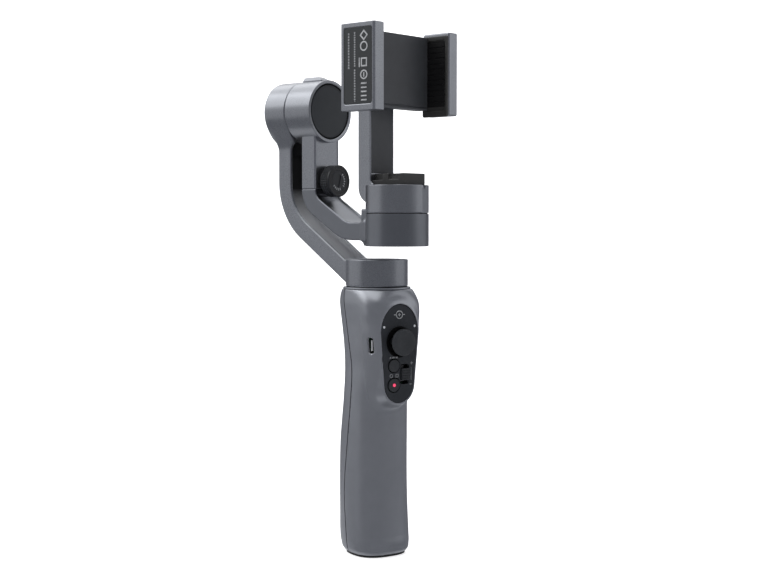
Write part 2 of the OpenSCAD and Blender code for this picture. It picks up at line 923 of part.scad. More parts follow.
module clamp_plate() {
  color(panel_black) difference() {
    translate([fixed_inner, 0, 0]) across_x(0, moving_inner - fixed_inner - 0.2)
      translate([(plate_front + plate_back) / 2, pivot_z + 0.6])
        round_rect(plate_back - plate_front, 41.2, 1);
    rod_y(3.04, plate_back - 2.8, plate_back + past, pivot_z);
    box([-20, -13.2, pivot_z - tongue_w / 2 - 0.2], [40, -10.4, pivot_z + tongue_w / 2 + 0.2]);
    for (s = [-1, 1]) {
      translate([-22, -12, pivot_z + s * 14]) rotate([0, 90, 0])
        cylinder(r = 1.55, h = 60);
    }
  }
}

// Fixed jaw with a shallow pocket for its label plate
module fixed_jaw() {
  color(metal_gray) difference() {
    translate([fixed_inner - jaw_t, 0, 0]) across_x(0, jaw_t) translate([jaw_mid_y, pivot_z])
      round_rect(jaw_d, jaw_h, 1.2);
    translate([fixed_inner - jaw_t - past, 0, 0]) across_x(0, past + 0.8)
      translate([jaw_mid_y, pivot_z + 0.4]) round_rect(20.1, 41, 1.2);
    translate([fixed_inner - 1, 0, 0]) across_x(0, 3) fixed_pad_outline();
  }
}

module fixed_pad_outline() {
  translate([(pad_front + pad_back) / 2, pivot_z]) round_rect(pad_back - pad_front, 37, 1);
}

module label_plate() {
  color(panel_black) translate([fixed_inner - jaw_t + 0.2, 0, 0]) across_x(0, 0.6)
    translate([jaw_mid_y, pivot_z + 0.4]) round_rect(19.9, 40.8, 1.1);
}

// Soft pad in the fixed jaw's grip face
module fixed_jaw_pad() {
  color(deep_black) translate([fixed_inner - 1, 0, 0]) difference() {
    across_x(0, 1.3) fixed_pad_outline();
    for (i = [-5:5]) {
      translate([1, jaw_front, pivot_z + i * 3 - 0.4]) cube([1, 20, 0.8]);
    }
  }
}

liner_t = 1;
moving_back = -10.6;
moving_depth = moving_back - jaw_front;

module moving_jaw() {
  color(metal_gray) difference() {
    translate([moving_inner + liner_t, 0, 0]) across_x(0, jaw_t)
      translate([jaw_front + moving_depth / 2, pivot_z]) round_rect(moving_depth, jaw_h, 1.2);
    for (s = [-1, 1]) {
      translate([moving_inner, -12, pivot_z + s * 14]) rotate([0, 90, 0])
        cylinder(r = 1.5, h = 6);
    }
  }
}

// Black liner on the moving jaw, with the tongue that slides in the plate
module jaw_slider() {
  color(deep_black) {
    difference() {
      translate([moving_inner, 0, 0]) across_x(0, liner_t) translate([-20.3, pivot_z - 1.2])
        round_rect(17.9, 45.2, 1);
      for (s = [-1, 1]) {
        translate([moving_inner - past, -12, pivot_z + s * 14]) rotate([0, 90, 0])
          cylinder(r = 1.5, h = 3);
      }
      box(
        [moving_inner - 0.5, pad_front, pivot_z - 17],
        [moving_inner + 0.5, pad_back, pivot_z + 17]
      );
    }
    box(
      [-12, -12.9, pivot_z - tongue_w / 2],
      [moving_inner, -11.5, pivot_z + tongue_w / 2]
    );
  }
}

// Ribbed soft pad set into the liner
module moving_jaw_pad() {
  color(deep_black) difference() {
    box(
      [moving_inner - 0.3, pad_front, pivot_z - 17],
      [moving_inner + 0.5, pad_back, pivot_z + 17]
    );
    for (i = [-5:5]) {
      translate([moving_inner - 0.8, -30, pivot_z + i * 3 - 0.4]) cube([1, 20, 0.8]);
    }
  }
}

// Two steel rods that keep the moving jaw square
module guide_rods() {
  color(steel) for (s = [-1, 1]) {
    translate([-18, -12, pivot_z + s * 14]) rotate([0, 90, 0])
      cylinder(r = 1.5, h = moving_inner + 6 + 18);
  }
}

front_shell();
rear_shell();
base_plate();
tripod_insert();
base_screws();
control_panel();
joystick_housing();
status_lights();
control_board();
tact_switches();
usb_port();
main_board();
battery_cell();
battery_holder();
neck_collar();
pan_stator();
pan_bearings();
joystick_cradle();
joystick_cap();
mode_button();
power_button();
power_button_lens();
zoom_slider();
outer_arm();
arm_inner_cover();
pan_cap();
pan_magnets();
pan_shaft();
roll_rear_cap();
roll_stator();
roll_bearings();
roll_housing();
slide_sleeve();
roll_cover_disc();
roll_magnets();
roll_shaft();
roll_top_block();
lock_knob();
knob_cap();
slide_rod();
tilt_lower_housing();
tilt_stator();
tilt_bearings();
tilt_bottom_cap();
tilt_upper_housing();
tilt_magnets();
tilt_shaft();
upright_arm();
upright_cover();
phone_rest();
clamp_pivot();
clamp_plate();
fixed_jaw();
label_plate();
fixed_jaw_pad();
moving_jaw();
jaw_slider();
moving_jaw_pad();
guide_rods();
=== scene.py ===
"""Looks of the handheld gimbal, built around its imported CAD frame. Shapes are worked out in millimetres."""

import json
import math

import bpy
import numpy as np
from mathutils import Matrix, Vector


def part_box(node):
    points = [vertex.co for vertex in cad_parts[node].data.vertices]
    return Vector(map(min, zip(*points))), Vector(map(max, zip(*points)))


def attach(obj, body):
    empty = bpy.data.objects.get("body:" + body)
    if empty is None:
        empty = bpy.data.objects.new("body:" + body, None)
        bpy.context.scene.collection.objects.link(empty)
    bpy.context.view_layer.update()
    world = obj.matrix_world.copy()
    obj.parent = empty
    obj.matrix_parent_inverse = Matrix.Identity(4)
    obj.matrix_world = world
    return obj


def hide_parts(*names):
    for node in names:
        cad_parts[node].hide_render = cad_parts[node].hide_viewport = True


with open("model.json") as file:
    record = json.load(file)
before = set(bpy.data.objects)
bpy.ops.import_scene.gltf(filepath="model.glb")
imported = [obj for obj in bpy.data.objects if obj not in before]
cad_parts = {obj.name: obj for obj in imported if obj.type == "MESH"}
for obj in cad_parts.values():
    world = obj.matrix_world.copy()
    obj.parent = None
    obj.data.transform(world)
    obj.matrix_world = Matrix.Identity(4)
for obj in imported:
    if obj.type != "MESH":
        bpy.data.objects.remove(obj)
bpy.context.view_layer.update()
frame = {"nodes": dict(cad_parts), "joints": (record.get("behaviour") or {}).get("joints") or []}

# ---------------------------------------------------------------- measures

joint = {j["name"]: j for j in frame["joints"]}
X, Y, Z = 0, 1, 2
INK_THICK = 0.04
# Turns the sum of two distances into the distance from a slanted cut between them
DIAGONAL = 0.707


def limits(node):
    """Lowest and highest corner of a CAD node, in millimetres."""
    low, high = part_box(node)
    return np.array(low) * 1000, np.array(high) * 1000


# The handle is modelled facing -Y and turned about the pan axis
turn_axis = joint["joystick_tip_updown"]["axis"]
HANDLE_TURN = math.atan2(turn_axis[1], turn_axis[0])
ROLL_Z = joint["roll_turn"]["pos_m"][2] * 1000
TILT_Y = joint["tilt_turn"]["pos_m"][1] * 1000
PIVOT_Z = joint["clamp_turn"]["pos_m"][2] * 1000
KNOB_Z = joint["knob_turn"]["pos_m"][2] * 1000

# ---------------------------------------------------------------- distance functions


def rmax(a, b, r=0.0):
    """Intersection of two solids with an edge rounded to radius r."""
    if r <= 0:
        return np.maximum(a, b)
    return np.minimum(np.maximum(a, b), -r) + np.hypot(np.maximum(a + r, 0), np.maximum(b + r, 0))


def rmin(a, b, r=0.0):
    """Union of two solids with a fillet of radius r between them."""
    return -rmax(-a, -b, r)


def cut(a, b, r=0.0):
    """The first solid without the second."""
    return rmax(a, -b, r)


def cmax(a, b, leg):
    """Intersection of two solids with a flat chamfer on its edge."""
    return np.maximum(np.maximum(a, b), (a + b + leg) * math.sqrt(0.5))


def span(v, low, high):
    return np.abs(v - (low + high) / 2) - (high - low) / 2


def block(p, low, high, r=0.5):
    x, y, z = (span(p[:, i], low[i], high[i]) for i in range(3))
    return rmax(rmax(x, y, r), z, r)


def rod(p, axis, centre, radius):
    """Endless round bar; centre is given on the other two axes, in order."""
    a, b = [i for i in range(3) if i != axis]
    return np.hypot(p[:, a] - centre[0], p[:, b] - centre[1]) - radius


def drum(p, axis, centre, radius, low, high, r=0.4):
    return rmax(rod(p, axis, centre, radius), span(p[:, axis], low, high), r)


def plate(a, b, centre, size, r):
    """Flat rectangle with round corners in two of the coordinates."""
    return rmax(np.abs(a - centre[0]) - size[0] / 2, np.abs(b - centre[1]) - size[1] / 2, r)


def strip(q, line, half):
    """Band about a polyline, with its half thickness at each of the line's points."""
    half = np.broadcast_to(half, len(line))
    best = np.full(len(q), 1e9)
    for a, b, ha, hb in zip(line[:-1], line[1:], half[:-1], half[1:]):
        ab = b - a
        t = np.clip((q - a) @ ab / (ab @ ab), 0, 1)
        d = np.hypot(q[:, 0] - a[0] - t * ab[0], q[:, 1] - a[1] - t * ab[1])
        np.minimum(best, d - ha - (hb - ha) * t, out=best)
    return best


def walk(at, heading, *steps):
    """Polyline from a point; a step is a length, or a bend's (radius, turn in degrees)."""
    points, a = [np.array(at, float)], math.radians(heading)
    for step in steps:
        if isinstance(step, tuple):
            count = max(3, round(abs(step[1]) / 6))
            part = math.radians(step[1]) / count
            chord = 2 * step[0] * math.sin(abs(part) / 2)
            for _ in range(count):
                ahead = np.array([math.cos(a + part / 2), math.sin(a + part / 2)])
                points.append(points[-1] + chord * ahead)
                a += part
        else:
            points.append(points[-1] + step * np.array([math.cos(a), math.sin(a)]))
    return np.array(points)


def beside(line, distance):
    """The line moved to its left."""
    t = np.gradient(line, axis=0)
    t /= np.linalg.norm(t, axis=1, keepdims=True)
    return line + distance * np.stack([-t[:, 1], t[:, 0]], 1)


def flow(x, knots):
    """Smooth curve through (x, value) knots."""
    xs, ys = np.array(knots, float).T
    m = np.gradient(ys, xs)
    i = np.clip(np.searchsorted(xs, x) - 1, 0, len(xs) - 2)
    h = xs[i + 1] - xs[i]
    t = np.clip((x - xs[i]) / h, 0, 1)
    s = 1 - t
    start = (1 + 2 * t) * s * s * ys[i] + t * s * s * h * m[i]
    return start + t * t * (1 + 2 * s) * ys[i + 1] - t * t * s * h * m[i + 1]


# ---------------------------------------------------------------- from distance to mesh


def slope(f, p, step=0.01):
    """Unit gradient of f at the points, and its size."""
    g = np.stack([f(p + step * e) - f(p - step * e) for e in np.eye(3)], 1)
    size = np.maximum(np.linalg.norm(g, axis=1), 1e-12)
    return g / size[:, None], size / (2 * step)


def crossings(value, low, cell):
    """Points where grid edges cross the surface, and the four cells round each of them."""
    inside = value < 0
    places, cells = [], []
    unit = np.eye(3, dtype=int)
    for axis in range(3):
        first = tuple(slice(0, -1) if i == axis else slice(None) for i in range(3))
        last = tuple(slice(1, None) if i == axis else slice(None) for i in range(3))
        at = np.argwhere(inside[first] != inside[last])
        v0 = value[tuple(at.T)]
        v1 = value[tuple((at + unit[axis]).T)]
        places.append(low + cell * (at + (v0 / (v0 - v1))[:, None] * unit[axis]))
        b, c = unit[(axis + 1) % 3], unit[(axis + 2) % 3]
        ring = np.stack([at, at - b, at - b - c, at - c], 1)
        ring[v0 >= 0] = ring[v0 >= 0][:, ::-1]
        cells.append(ring)
    return np.concatenate(places), np.concatenate(cells)


# A shape's grid has this many spare cells round it, and is first tried out in blocks of this many cells
MARGIN = 1.6
COARSE = 4


def contour(f, low, high, cell):
    """Quads on the zero surface of f by dual contouring, with corner normals. Sharp edges stay sharp."""
    low = np.array(low, float) - MARGIN * cell
    blocks = np.ceil((np.array(high, float) + MARGIN * cell - low) / cell / COARSE).astype(int)
    count = blocks * COARSE + 1
    coarse = f(low + cell * (COARSE * np.indices(blocks).reshape(3, -1).T + COARSE / 2)).reshape(blocks)
    pick = [np.minimum(np.arange(n) // COARSE, b - 1) for n, b in zip(count, blocks)]
    value = coarse[np.ix_(*pick)].copy()
    near = np.abs(value) < 1.2 * COARSE * cell
    value[near] = f(low + cell * np.argwhere(near))
    value[value == 0] = 1e-9
    places, cells = crossings(value, low, cell)
    ids, quads = np.unique(np.ravel_multi_index(np.moveaxis(cells, 2, 0), count), return_inverse=True)
    quads = quads.reshape(-1, 4)
    normal, size = slope(f, places)
    offset = (normal * places).sum(1) - f(places) / size
    flat, source = quads.ravel(), np.repeat(np.arange(len(places)), 4)

    def gather(weights):
        return np.bincount(flat, weights[source], len(ids))

    share = gather(np.ones(len(places)))
    middle = np.stack([gather(places[:, i]) for i in range(3)], 1) / share[:, None]
    matrix = np.empty((len(ids), 3, 3))
    right = np.empty((len(ids), 3))
    hold = 0.03
    for i in range(3):
        right[:, i] = gather(normal[:, i] * offset) / share + hold * middle[:, i]
        for j in range(3):
            matrix[:, i, j] = gather(normal[:, i] * normal[:, j]) / share + hold * (i == j)
    points = np.linalg.solve(matrix, right[:, :, None])[:, :, 0]
    corner = low + cell * np.stack(np.unravel_index(ids, count), 1)
    points = np.clip(points, corner, corner + cell)
    normal, size = slope(f, points)
    step = np.clip(f(points) / size, -0.3 * cell, 0.3 * cell)
    points -= normal * step[:, None]
    normal, _ = slope(f, points)
    corners = normal[quads]
    mean = corners.mean(1)
    edgy = np.linalg.norm(mean, axis=1) < 0.995
    at = points[quads[edgy]]
    near_side = (0.65 * at + 0.35 * at.mean(1, keepdims=True)).reshape(-1, 3)
    own = slope(f, near_side)[0].reshape(-1, 4, 3)
    agree = (own * corners[edgy]).sum(2, keepdims=True) > 0.95
    corners[edgy] = np.where(agree, corners[edgy], own)
    return points, quads, corners.reshape(-1, 3)


def to_mesh(name, points, faces, normals=None):
    """Mesh from points in millimetres; a face is a row of indices, with -1 for a triangle's fourth."""
    mesh = bpy.data.meshes.new(name)
    rows = [[i for i in row if i >= 0] for row in np.asarray(faces).tolist()]
    mesh.from_pydata((np.asarray(points) * 0.001).tolist(), [], rows)
    mesh.polygons.foreach_set("use_smooth", np.ones(len(rows), bool))
    if normals is not None:
        mesh.normals_split_custom_set(normals.tolist())
    mesh.update()
    return mesh


# ---------------------------------------------------------------- turned parts


def rounded(profile):
    """Corners (radius, height, fillet) of a closed profile as points, each with its normals on both sides."""
    out, n, steps = [], len(profile), 4
    for i, (r, t, fillet) in enumerate(profile):
        p = np.array([r, t], float)
        u = p - np.array(profile[i - 1][:2], float)
        v = np.array(profile[(i + 1) % n][:2], float) - p
        u, v = u / np.linalg.norm(u), v / np.linalg.norm(v)
        if fillet <= 0:
            out.append((p, (u[1], -u[0]), (v[1], -v[0])))
            continue
        bend = math.atan2(u[0] * v[1] - u[1] * v[0], u @ v)
        side = math.copysign(fillet, bend)
        start = p - u * fillet * math.tan(abs(bend) / 2)
        centre = start + side * np.array([-u[1], u[0]])
        for k in range(steps + 1):
            a = bend * k / steps
            d = np.array([u[0] * math.cos(a) - u[1] * math.sin(a), u[0] * math.sin(a) + u[1] * math.cos(a)])
            out.append((centre - side * np.array([-d[1], d[0]]), (d[1], -d[0]), (d[1], -d[0])))
    return out


def anticlockwise(profile):
    """The profile, turned round if it runs clockwise in its (radius, height) plane."""
    r, t = np.array([p[:2] for p in profile]).T
    area = (r * np.roll(t, -1) - np.roll(r, -1) * t).sum()
    return profile if area > 0 else profile[::-1]


def lathe(profile, axis, centre, segments):
    """Turned solid from a profile that runs anticlockwise with the axis at its left."""
    ring = rounded(profile)
    angles = np.arange(segments) * 2 * math.pi / segments
    around = np.stack([np.cos(angles), np.sin(angles)], 1)
    points, index = [], []
    for p, _, _ in ring:
        many = 1 if p[0] < 1e-6 else segments
        index.append(len(points) + (np.arange(segments) if many > 1 else np.zeros(segments, int)))
        points += [(p[0] * c, p[0] * s, p[1]) for c, s in around[:many]]
    faces, normals = [], []
    for i in range(len(ring)):
        j = (i + 1) % len(ring)
        if ring[i][0][0] < 1e-6 and ring[j][0][0] < 1e-6:
            continue
        for k in range(segments):
            m = (k + 1) % segments
            quad = [
                (index[i][k], k, ring[i][2]), (index[i][m], m, ring[i][2]),
                (index[j][m], m, ring[j][1]), (index[j][k], k, ring[j][1]),
            ]
            if quad[0][0] == quad[1][0]:
                quad.pop(1)
            elif quad[2][0] == quad[3][0]:
                quad.pop(3)
            faces.append([q[0] for q in quad] + [-1] * (4 - len(quad)))
            normals += [(n[0] * around[a][0], n[0] * around[a][1], n[1]) for _, a, n in quad]
    points, normals = np.array(points), np.array(normals)
    if axis == Y:
        points, normals = points[:, [0, 2, 1]] * (1, 1, -1), normals[:, [0, 2, 1]] * (1, 1, -1)
        return points + (centre[0], 0, centre[1]), faces, normals
    return points + (centre[0], centre[1], 0), faces, normals


# ---------------------------------------------------------------- pieces


def place(name, body, look, mesh, nodes=(), slot=None, turned=False):
    """Puts a finished mesh in the scene, on its CAD body, in the place of the CAD nodes it stands for."""
    if turned:
        mesh.transform(Matrix.Rotation(HANDLE_TURN, 4, "Z"))
    mesh.materials.append(look)
    piece = bpy.data.objects.new(name, mesh)
    bpy.context.scene.collection.objects.link(piece)
    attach(piece, body)
    if nodes:
        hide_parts(*nodes)
    slot or SLOTS[look]


def carve(name, body, look, f, low, high, cell, nodes=None, slot=None, turned=False):
    """A piece whose surface is the zero of a distance function."""
    mesh = to_mesh(name, *contour(f, low, high, cell))
    place(name, body, look, mesh, (name,) if nodes is None else nodes, slot, turned)


def carve_turned(*row, **options):
    """A carved piece that is turned with the handle."""
    carve(*row, turned=True, **options)


def turned_piece(name, body, look, profile, axis, centre, nodes=None, slot=None, segments=120):
    """A piece that a lathe would make, from corners (radius, height, fillet)."""
    mesh = to_mesh(name, *lathe(anticlockwise(profile), axis, centre, segments))
    place(name, body, look, mesh, (name,) if nodes is None else nodes, slot)


def ribbons(lines, width, thick, origin, right, up):
    """Thin raised strokes on a face. A line is a list of (across, along) points, closed if its ends meet."""
    right, up = np.array(right, float), np.array(up, float)
    out = np.cross(right, up)
    points, faces = [], []
    for line in lines:
        line = np.array(line, float)
        closed = np.allclose(line[0], line[-1])
        t = np.diff(line, axis=0)
        t /= np.linalg.norm(t, axis=1, keepdims=True)
        before = np.vstack([t[-1:] if closed else t[:1], t])
        after = np.vstack([t, t[:1] if closed else t[-1:]])
        mitre = before + after
        mitre /= np.maximum((mitre * before).sum(1, keepdims=True), 0.4)
        side = np.stack([-mitre[:, 1], mitre[:, 0]], 1) * width / 2
        if closed:
            line, side = line[:-1], side[:-1]
        n, base = len(line), len(points)
        for flat, height in ((line + side, 0), (line - side, 0), (line - side, thick), (line + side, thick)):
            points += [np.array(origin) + a * right + b * up + height * out for a, b in flat]
        for i in range(n if closed else n - 1):
            j = (i + 1) % n
            for s in range(4):
                e = (s + 1) % 4
                faces.append([base + s * n + i, base + e * n + i, base + e * n + j, base + s * n + j])
        if not closed:
            faces.append([base + s * n for s in (3, 2, 1, 0)])
            faces.append([base + s * n + n - 1 for s in (0, 1, 2, 3)])
    return points, [f[::-1] for f in faces]


def arc(centre, radius, steps=24):
    """Closed circle as a line of points."""
    turns = np.radians(np.linspace(0, 360, steps + 1))
    return [(centre[0] + radius * math.cos(a), centre[1] + radius * math.sin(a)) for a in turns]


# ---------------------------------------------------------------- materials


def link(tree, source, target):
    tree.links.new(source, target)


def node(tree, kind, **sockets):
    made = tree.nodes.new(kind)
    for key, value in sockets.items():
        if key in made.inputs:
            made.inputs[key].default_value = value
        else:
            setattr(made, key, value)
    return made


def object_space(tree):
    return tree.nodes.new("ShaderNodeTexCoord").outputs["Object"]


def noise(tree, size_mm, detail, stretch=None):
    """Noise whose features are about size_mm wide, in the object's own frame."""
    source = object_space(tree)
    if stretch:
        mapping = node(tree, "ShaderNodeMapping", Scale=stretch)
        link(tree, source, mapping.inputs["Vector"])
        source = mapping.outputs["Vector"]
    made = node(tree, "ShaderNodeTexNoise", Scale=1000 / size_mm, Detail=detail, Roughness=0.6)
    link(tree, source, made.inputs["Vector"])
    return made.outputs["Fac"]


def ramp(tree, source, low, high, at=(0.3, 0.7)):
    """Maps a 0 to 1 value onto a range or between two colours."""
    if isinstance(low, tuple):
        made = tree.nodes.new("ShaderNodeValToRGB")
        made.color_ramp.elements[0].position, made.color_ramp.elements[1].position = at
        made.color_ramp.elements[0].color = (*low, 1)
        made.color_ramp.elements[1].color = (*high, 1)
        link(tree, source, made.inputs["Fac"])
        return made.outputs["Color"]
    made = tree.nodes.new("ShaderNodeMapRange")
    for key, value in (("From Min", at[0]), ("From Max", at[1]), ("To Min", low), ("To Max", high)):
        made.inputs[key].default_value = value
    link(tree, source, made.inputs["Value"])
    return made.outputs["Result"]


def blend(tree, factor, a, b):
    """Mixes two colours, each of them a plain colour or a socket."""
    mix = node(tree, "ShaderNodeMix", data_type="RGBA")
    link(tree, factor, mix.inputs["Factor"])
    for key, colour in (("A", a), ("B", b)):
        if isinstance(colour, tuple):
            mix.inputs[key].default_value = (*colour, 1)
        else:
            link(tree, colour, mix.inputs[key])
    return mix.outputs["Result"]


def faded(tree, tint, colour, low, high):
    """Turns a colour, given at the lower height in mm, into a tint at the higher one."""
    parts = tree.nodes.new("ShaderNodeSeparateXYZ")
    link(tree, object_space(tree), parts.inputs["Vector"])
    height = ramp(tree, parts.outputs["Z"], 0.0, 1.0, (low / 1000, high / 1000))
    return blend(tree, height, colour, tint)


def surface(name, colour, rough, metal, mottle, grain, bump, spread=0.06, edge=0.0,
            coat=0.0, stretch=None, cells=False, specular=0.5, fade=None):
    """Moulded, painted or machined surface: mottled colour, fine grain in gloss and relief, painted
    highlights on sharp edges.
    """
    made = bpy.data.materials.new(name)
    made.use_nodes = True
    tree = made.node_tree
    shader = tree.nodes["Principled BSDF"]
    shader.inputs["Metallic"].default_value = metal
    shader.inputs["Specular IOR Level"].default_value = specular
    shader.inputs["Coat Weight"].default_value = coat
    shader.inputs["Coat Roughness"].default_value = 0.12
    dark = tuple(c * (1 - mottle) for c in colour)
    light = tuple(min(1.0, c * (1 + mottle)) for c in colour)
    tint = ramp(tree, noise(tree, 9.0, 4.0, stretch), dark, light)
    # Painted highlight: sharp edges, found by pointiness, are lightened by the edge amount.
    if edge:
        bright = tuple(min(1.0, c * (1 + edge) + 0.01) for c in colour)
        geometry = tree.nodes.new("ShaderNodeNewGeometry")
        edge_highlight = ramp(tree, geometry.outputs["Pointiness"], 0.0, 1.0, (0.52, 0.60))
        tint = blend(tree, edge_highlight, tint, bright)
    # Painted reflection: with a fade, the given colour holds below the lower height and gives way to the tint
    # above the higher one.
    if fade:
        tint = faded(tree, tint, *fade)
    link(tree, tint, shader.inputs["Base Color"])
    if cells:
        pores = node(tree, "ShaderNodeTexVoronoi", Scale=1000 / grain)
        link(tree, object_space(tree), pores.inputs["Vector"])
        fine = pores.outputs["Distance"]
    else:
        fine = noise(tree, grain, 2.0, stretch)
    link(tree, ramp(tree, fine, max(0.03, rough - spread), rough + spread), shader.inputs["Roughness"])
    relief = node(tree, "ShaderNodeBump", Strength=1.0, Distance=bump * 0.001)
    link(tree, fine, relief.inputs["Height"])
    link(tree, relief.outputs["Normal"], shader.inputs["Normal"])
    return made


def paint(name, colour, rough, metal=0.95, grain=0.22, bump=0.0016, edge=0.2):
    """Satin metallic paint, with painted highlights on its edges."""
    return surface(name, colour, rough, metal, 0.03, grain, bump, 0.035, edge)


def plastic(name, colour, rough, mottle, grain, bump, **options):
    """Moulded plastic, rubber or print."""
    return surface(name, colour, rough, 0.0, mottle, grain, bump, **options)


def metal(name, colour, rough, mottle, grain, bump, **options):
    return surface(name, colour, rough, 1.0, mottle, grain, bump, **options)


# Looks given an edge value get painted highlights on their sharp edges.
PAINT = paint("satin_gray_paint", (0.37, 0.383, 0.41), 0.29)
PAINT_HANDLE = paint("satin_gray_shell", (0.43, 0.445, 0.477), 0.33, 0.88, 0.25, 0.002, 0.12)
# Darker copy of the same gray paint: painted shade for the slide rod and the lower tilt housing.
PAINT_SHADED = paint("satin_gray_shaded", (0.265, 0.276, 0.30), 0.31)
DEEP_BLACK = (0.004, 0.0042, 0.0045)
PANEL = plastic("panel_black", (0.023, 0.0255, 0.030), 0.34, 0.10, 0.3, 0.003, specular=0.3)
CHANNEL = plastic("channel_black", DEEP_BLACK, 0.55, 0.2, 0.3, 0.006, specular=0.12)
# Painted reflection: the black lining turns pale gray below 188 mm and fades back to black by 207 mm, for the
# light the lower channel floor reflects.
LINING_PAINTED_SHEEN = ((0.8, 0.81, 0.83), 188, 207)
LINING = plastic("lining_black", DEEP_BLACK, 0.5, 0.2, 0.3, 0.006, specular=0.15, fade=LINING_PAINTED_SHEEN)
DISC = plastic("disc_black", (0.030, 0.034, 0.039), 0.38, 0.08, 0.35, 0.005, specular=0.4)
KEY = plastic("key_black", (0.022, 0.0245, 0.028), 0.40, 0.1, 0.2, 0.008)
RUBBER = plastic("joystick_rubber", (0.027, 0.030, 0.0345), 0.55, 0.1, 0.35, 0.02, specular=0.4, cells=True)
# The knob's large edge value paints bright glints on the knurl's ridges.
KNURL = plastic("knob_black", (0.008, 0.009, 0.011), 0.26, 0.1, 0.25, 0.008, edge=8)
PLATE = plastic("plate_black", (0.040, 0.0425, 0.048), 0.42, 0.07, 0.3, 0.01, edge=0.6)
LABEL = plastic("label_black", (0.028, 0.031, 0.033), 0.5, 0.06, 0.25, 0.006)
GRIP = plastic("grip_rubber", (0.006, 0.006, 0.0065), 0.65, 0.15, 0.4, 0.03, specular=0.25, cells=True)
REST = plastic("rest_black", (0.030, 0.030, 0.029), 0.45, 0.1, 0.3, 0.012, edge=0.8)
BASE = plastic("base_black", (0.012, 0.012, 0.013), 0.5, 0.12, 0.3, 0.015)
INK_BRIGHT = plastic("print_white", (0.44, 0.45, 0.465), 0.55, 0.1, 0.2, 0.003)
INK = plastic("print_gray", (0.28, 0.288, 0.30), 0.55, 0.15, 0.2, 0.003)
INK_DIM = plastic("print_dim", (0.18, 0.185, 0.195), 0.55, 0.15, 0.2, 0.003)
STEEL = metal("steel", (0.62, 0.63, 0.64), 0.26, 0.05, 0.4, 0.003, stretch=(1, 1, 0.15))
BRASS = metal("brass", (0.72, 0.52, 0.22), 0.3, 0.08, 0.4, 0.004)
COPPER = metal("winding_copper", (0.72, 0.34, 0.16), 0.35, 0.2, 0.5, 0.05, stretch=(1, 1, 6))
MAGNET = metal("magnet_steel", (0.55, 0.55, 0.56), 0.3, 0.08, 0.5, 0.004)
BOARD = plastic("board_green", (0.012, 0.10, 0.04), 0.4, 0.25, 0.8, 0.02, coat=0.3)
SWITCH = plastic("switch_gray", (0.16, 0.16, 0.17), 0.45, 0.1, 0.4, 0.01)
CELL = plastic("cell_wrap", (0.03, 0.10, 0.42), 0.3, 0.08, 0.6, 0.006, coat=0.4)
LENS = plastic("light_lens", (0.55, 0.57, 0.6), 0.3, 0.05, 0.3, 0.004)
POWER = plastic("power_lens", (0.75, 0.05, 0.13), 0.25, 0.1, 0.3, 0.004)
power_shader = POWER.node_tree.nodes["Principled BSDF"]
power_shader.inputs["Emission Color"].default_value = (0.9, 0.08, 0.16, 1)
power_shader.inputs["Emission Strength"].default_value = 0.5

# The slot that a look belongs in, unless its piece names another
SLOTS = {
    PAINT: "arm_paint", PAINT_SHADED: "arm_paint", PAINT_HANDLE: "handle_paint", PANEL: "panel_black",
    CHANNEL: "channel_black", LINING: "channel_black", DISC: "disc_black", KEY: "key_black",
    RUBBER: "joystick_rubber", KNURL: "knob_black", PLATE: "plate_black", LABEL: "label_black",
    GRIP: "grip_rubber", REST: "rest_black", STEEL: "bearing_steel",
}

# ---------------------------------------------------------------- handle

# Sections of the grip: height, half width, front depth, rear depth, front squareness
SECTIONS = np.array([
    (0, 15.0, 13.2, 17.4, 2.5), (1.2, 15.9, 14.1, 18.8, 2.5), (2.6, 16.9, 15.2, 20.6, 2.5),
    (6, 17.5, 15.9, 22.6, 2.5), (12, 17.6, 15.4, 23.8, 2.5), (22, 17.4, 14.6, 24.0, 2.5),
    (34, 17.2, 13.9, 24.0, 2.5), (50, 17.0, 13.8, 23.4, 2.5), (66, 17.0, 14.0, 21.6, 2.5),
    (78, 17.0, 14.2, 19.0, 2.5), (87, 17.0, 14.8, 17.0, 2.5), (92, 17.0, 16.6, 16.2, 2.5),
    (98, 17.0, 19.4, 15.2, 2.6), (108, 17.0, 21.6, 14.8, 3.0), (118, 17.6, 22.1, 15.1, 3.4),
    (129, 18.3, 22.3, 17.4, 3.8), (138, 19.2, 22.3, 19.6, 4.0), (143.5, 19.7, 22.1, 20.8, 3.2),
    (148, 19.5, 20.4, 20.4, 2.5), (151, 19.0, 19.0, 19.0, 2.0),
])
# Depth of the seam between the two shells at each height, the gap it leaves and half of the strip in it
SEAM = ((0, 3.6), (11, 4.8), (33, 7.8), (66, 4.0), (85, 1.2), (105, -0.5), (125, 2.0), (144, 3.5), (152, 3.8))
SEAM_GAP, STRIP_HALF = 0.8, 0.38
SHELL_TOP = 149.85
PORT_Z = 119.6
BOW_R = 900
PANEL_FRONT = 22.5
CREST_Z = 120
WALL = 2
# Joystick, two buttons and slider: places on the panel, across and up
STICK, MODE, BUTTON, SLIDER = (0, 121.3), (-3.6, 108.2), (-3.5, 97.5), (3.6, 103.3)


def egg(u, z):
    """Outline of the panel: a round lower end growing into a taller upper end."""
    low_z, low_r, low_rise = 98.0, 9.7, 10.5
    high_z, high_r, high_rise = 127.0, 12.2, 15.2
    z = np.where(z > high_z, high_z + (z - high_z) * high_r / high_rise, z)
    z = np.where(z < low_z, low_z - (low_z - z) * low_r / low_rise, z)
    u, z = np.abs(u), z - low_z
    rise = high_z - low_z
    lean = (low_r - high_r) / rise
    cosine = math.sqrt(1 - lean * lean)
    along = -lean * u + cosine * z
    side = cosine * u + lean * z - low_r
    upper = np.where(along > cosine * rise, np.hypot(u, z - rise) - high_r, side)
    return np.where(along < 0, np.hypot(u, z) - low_r, upper)


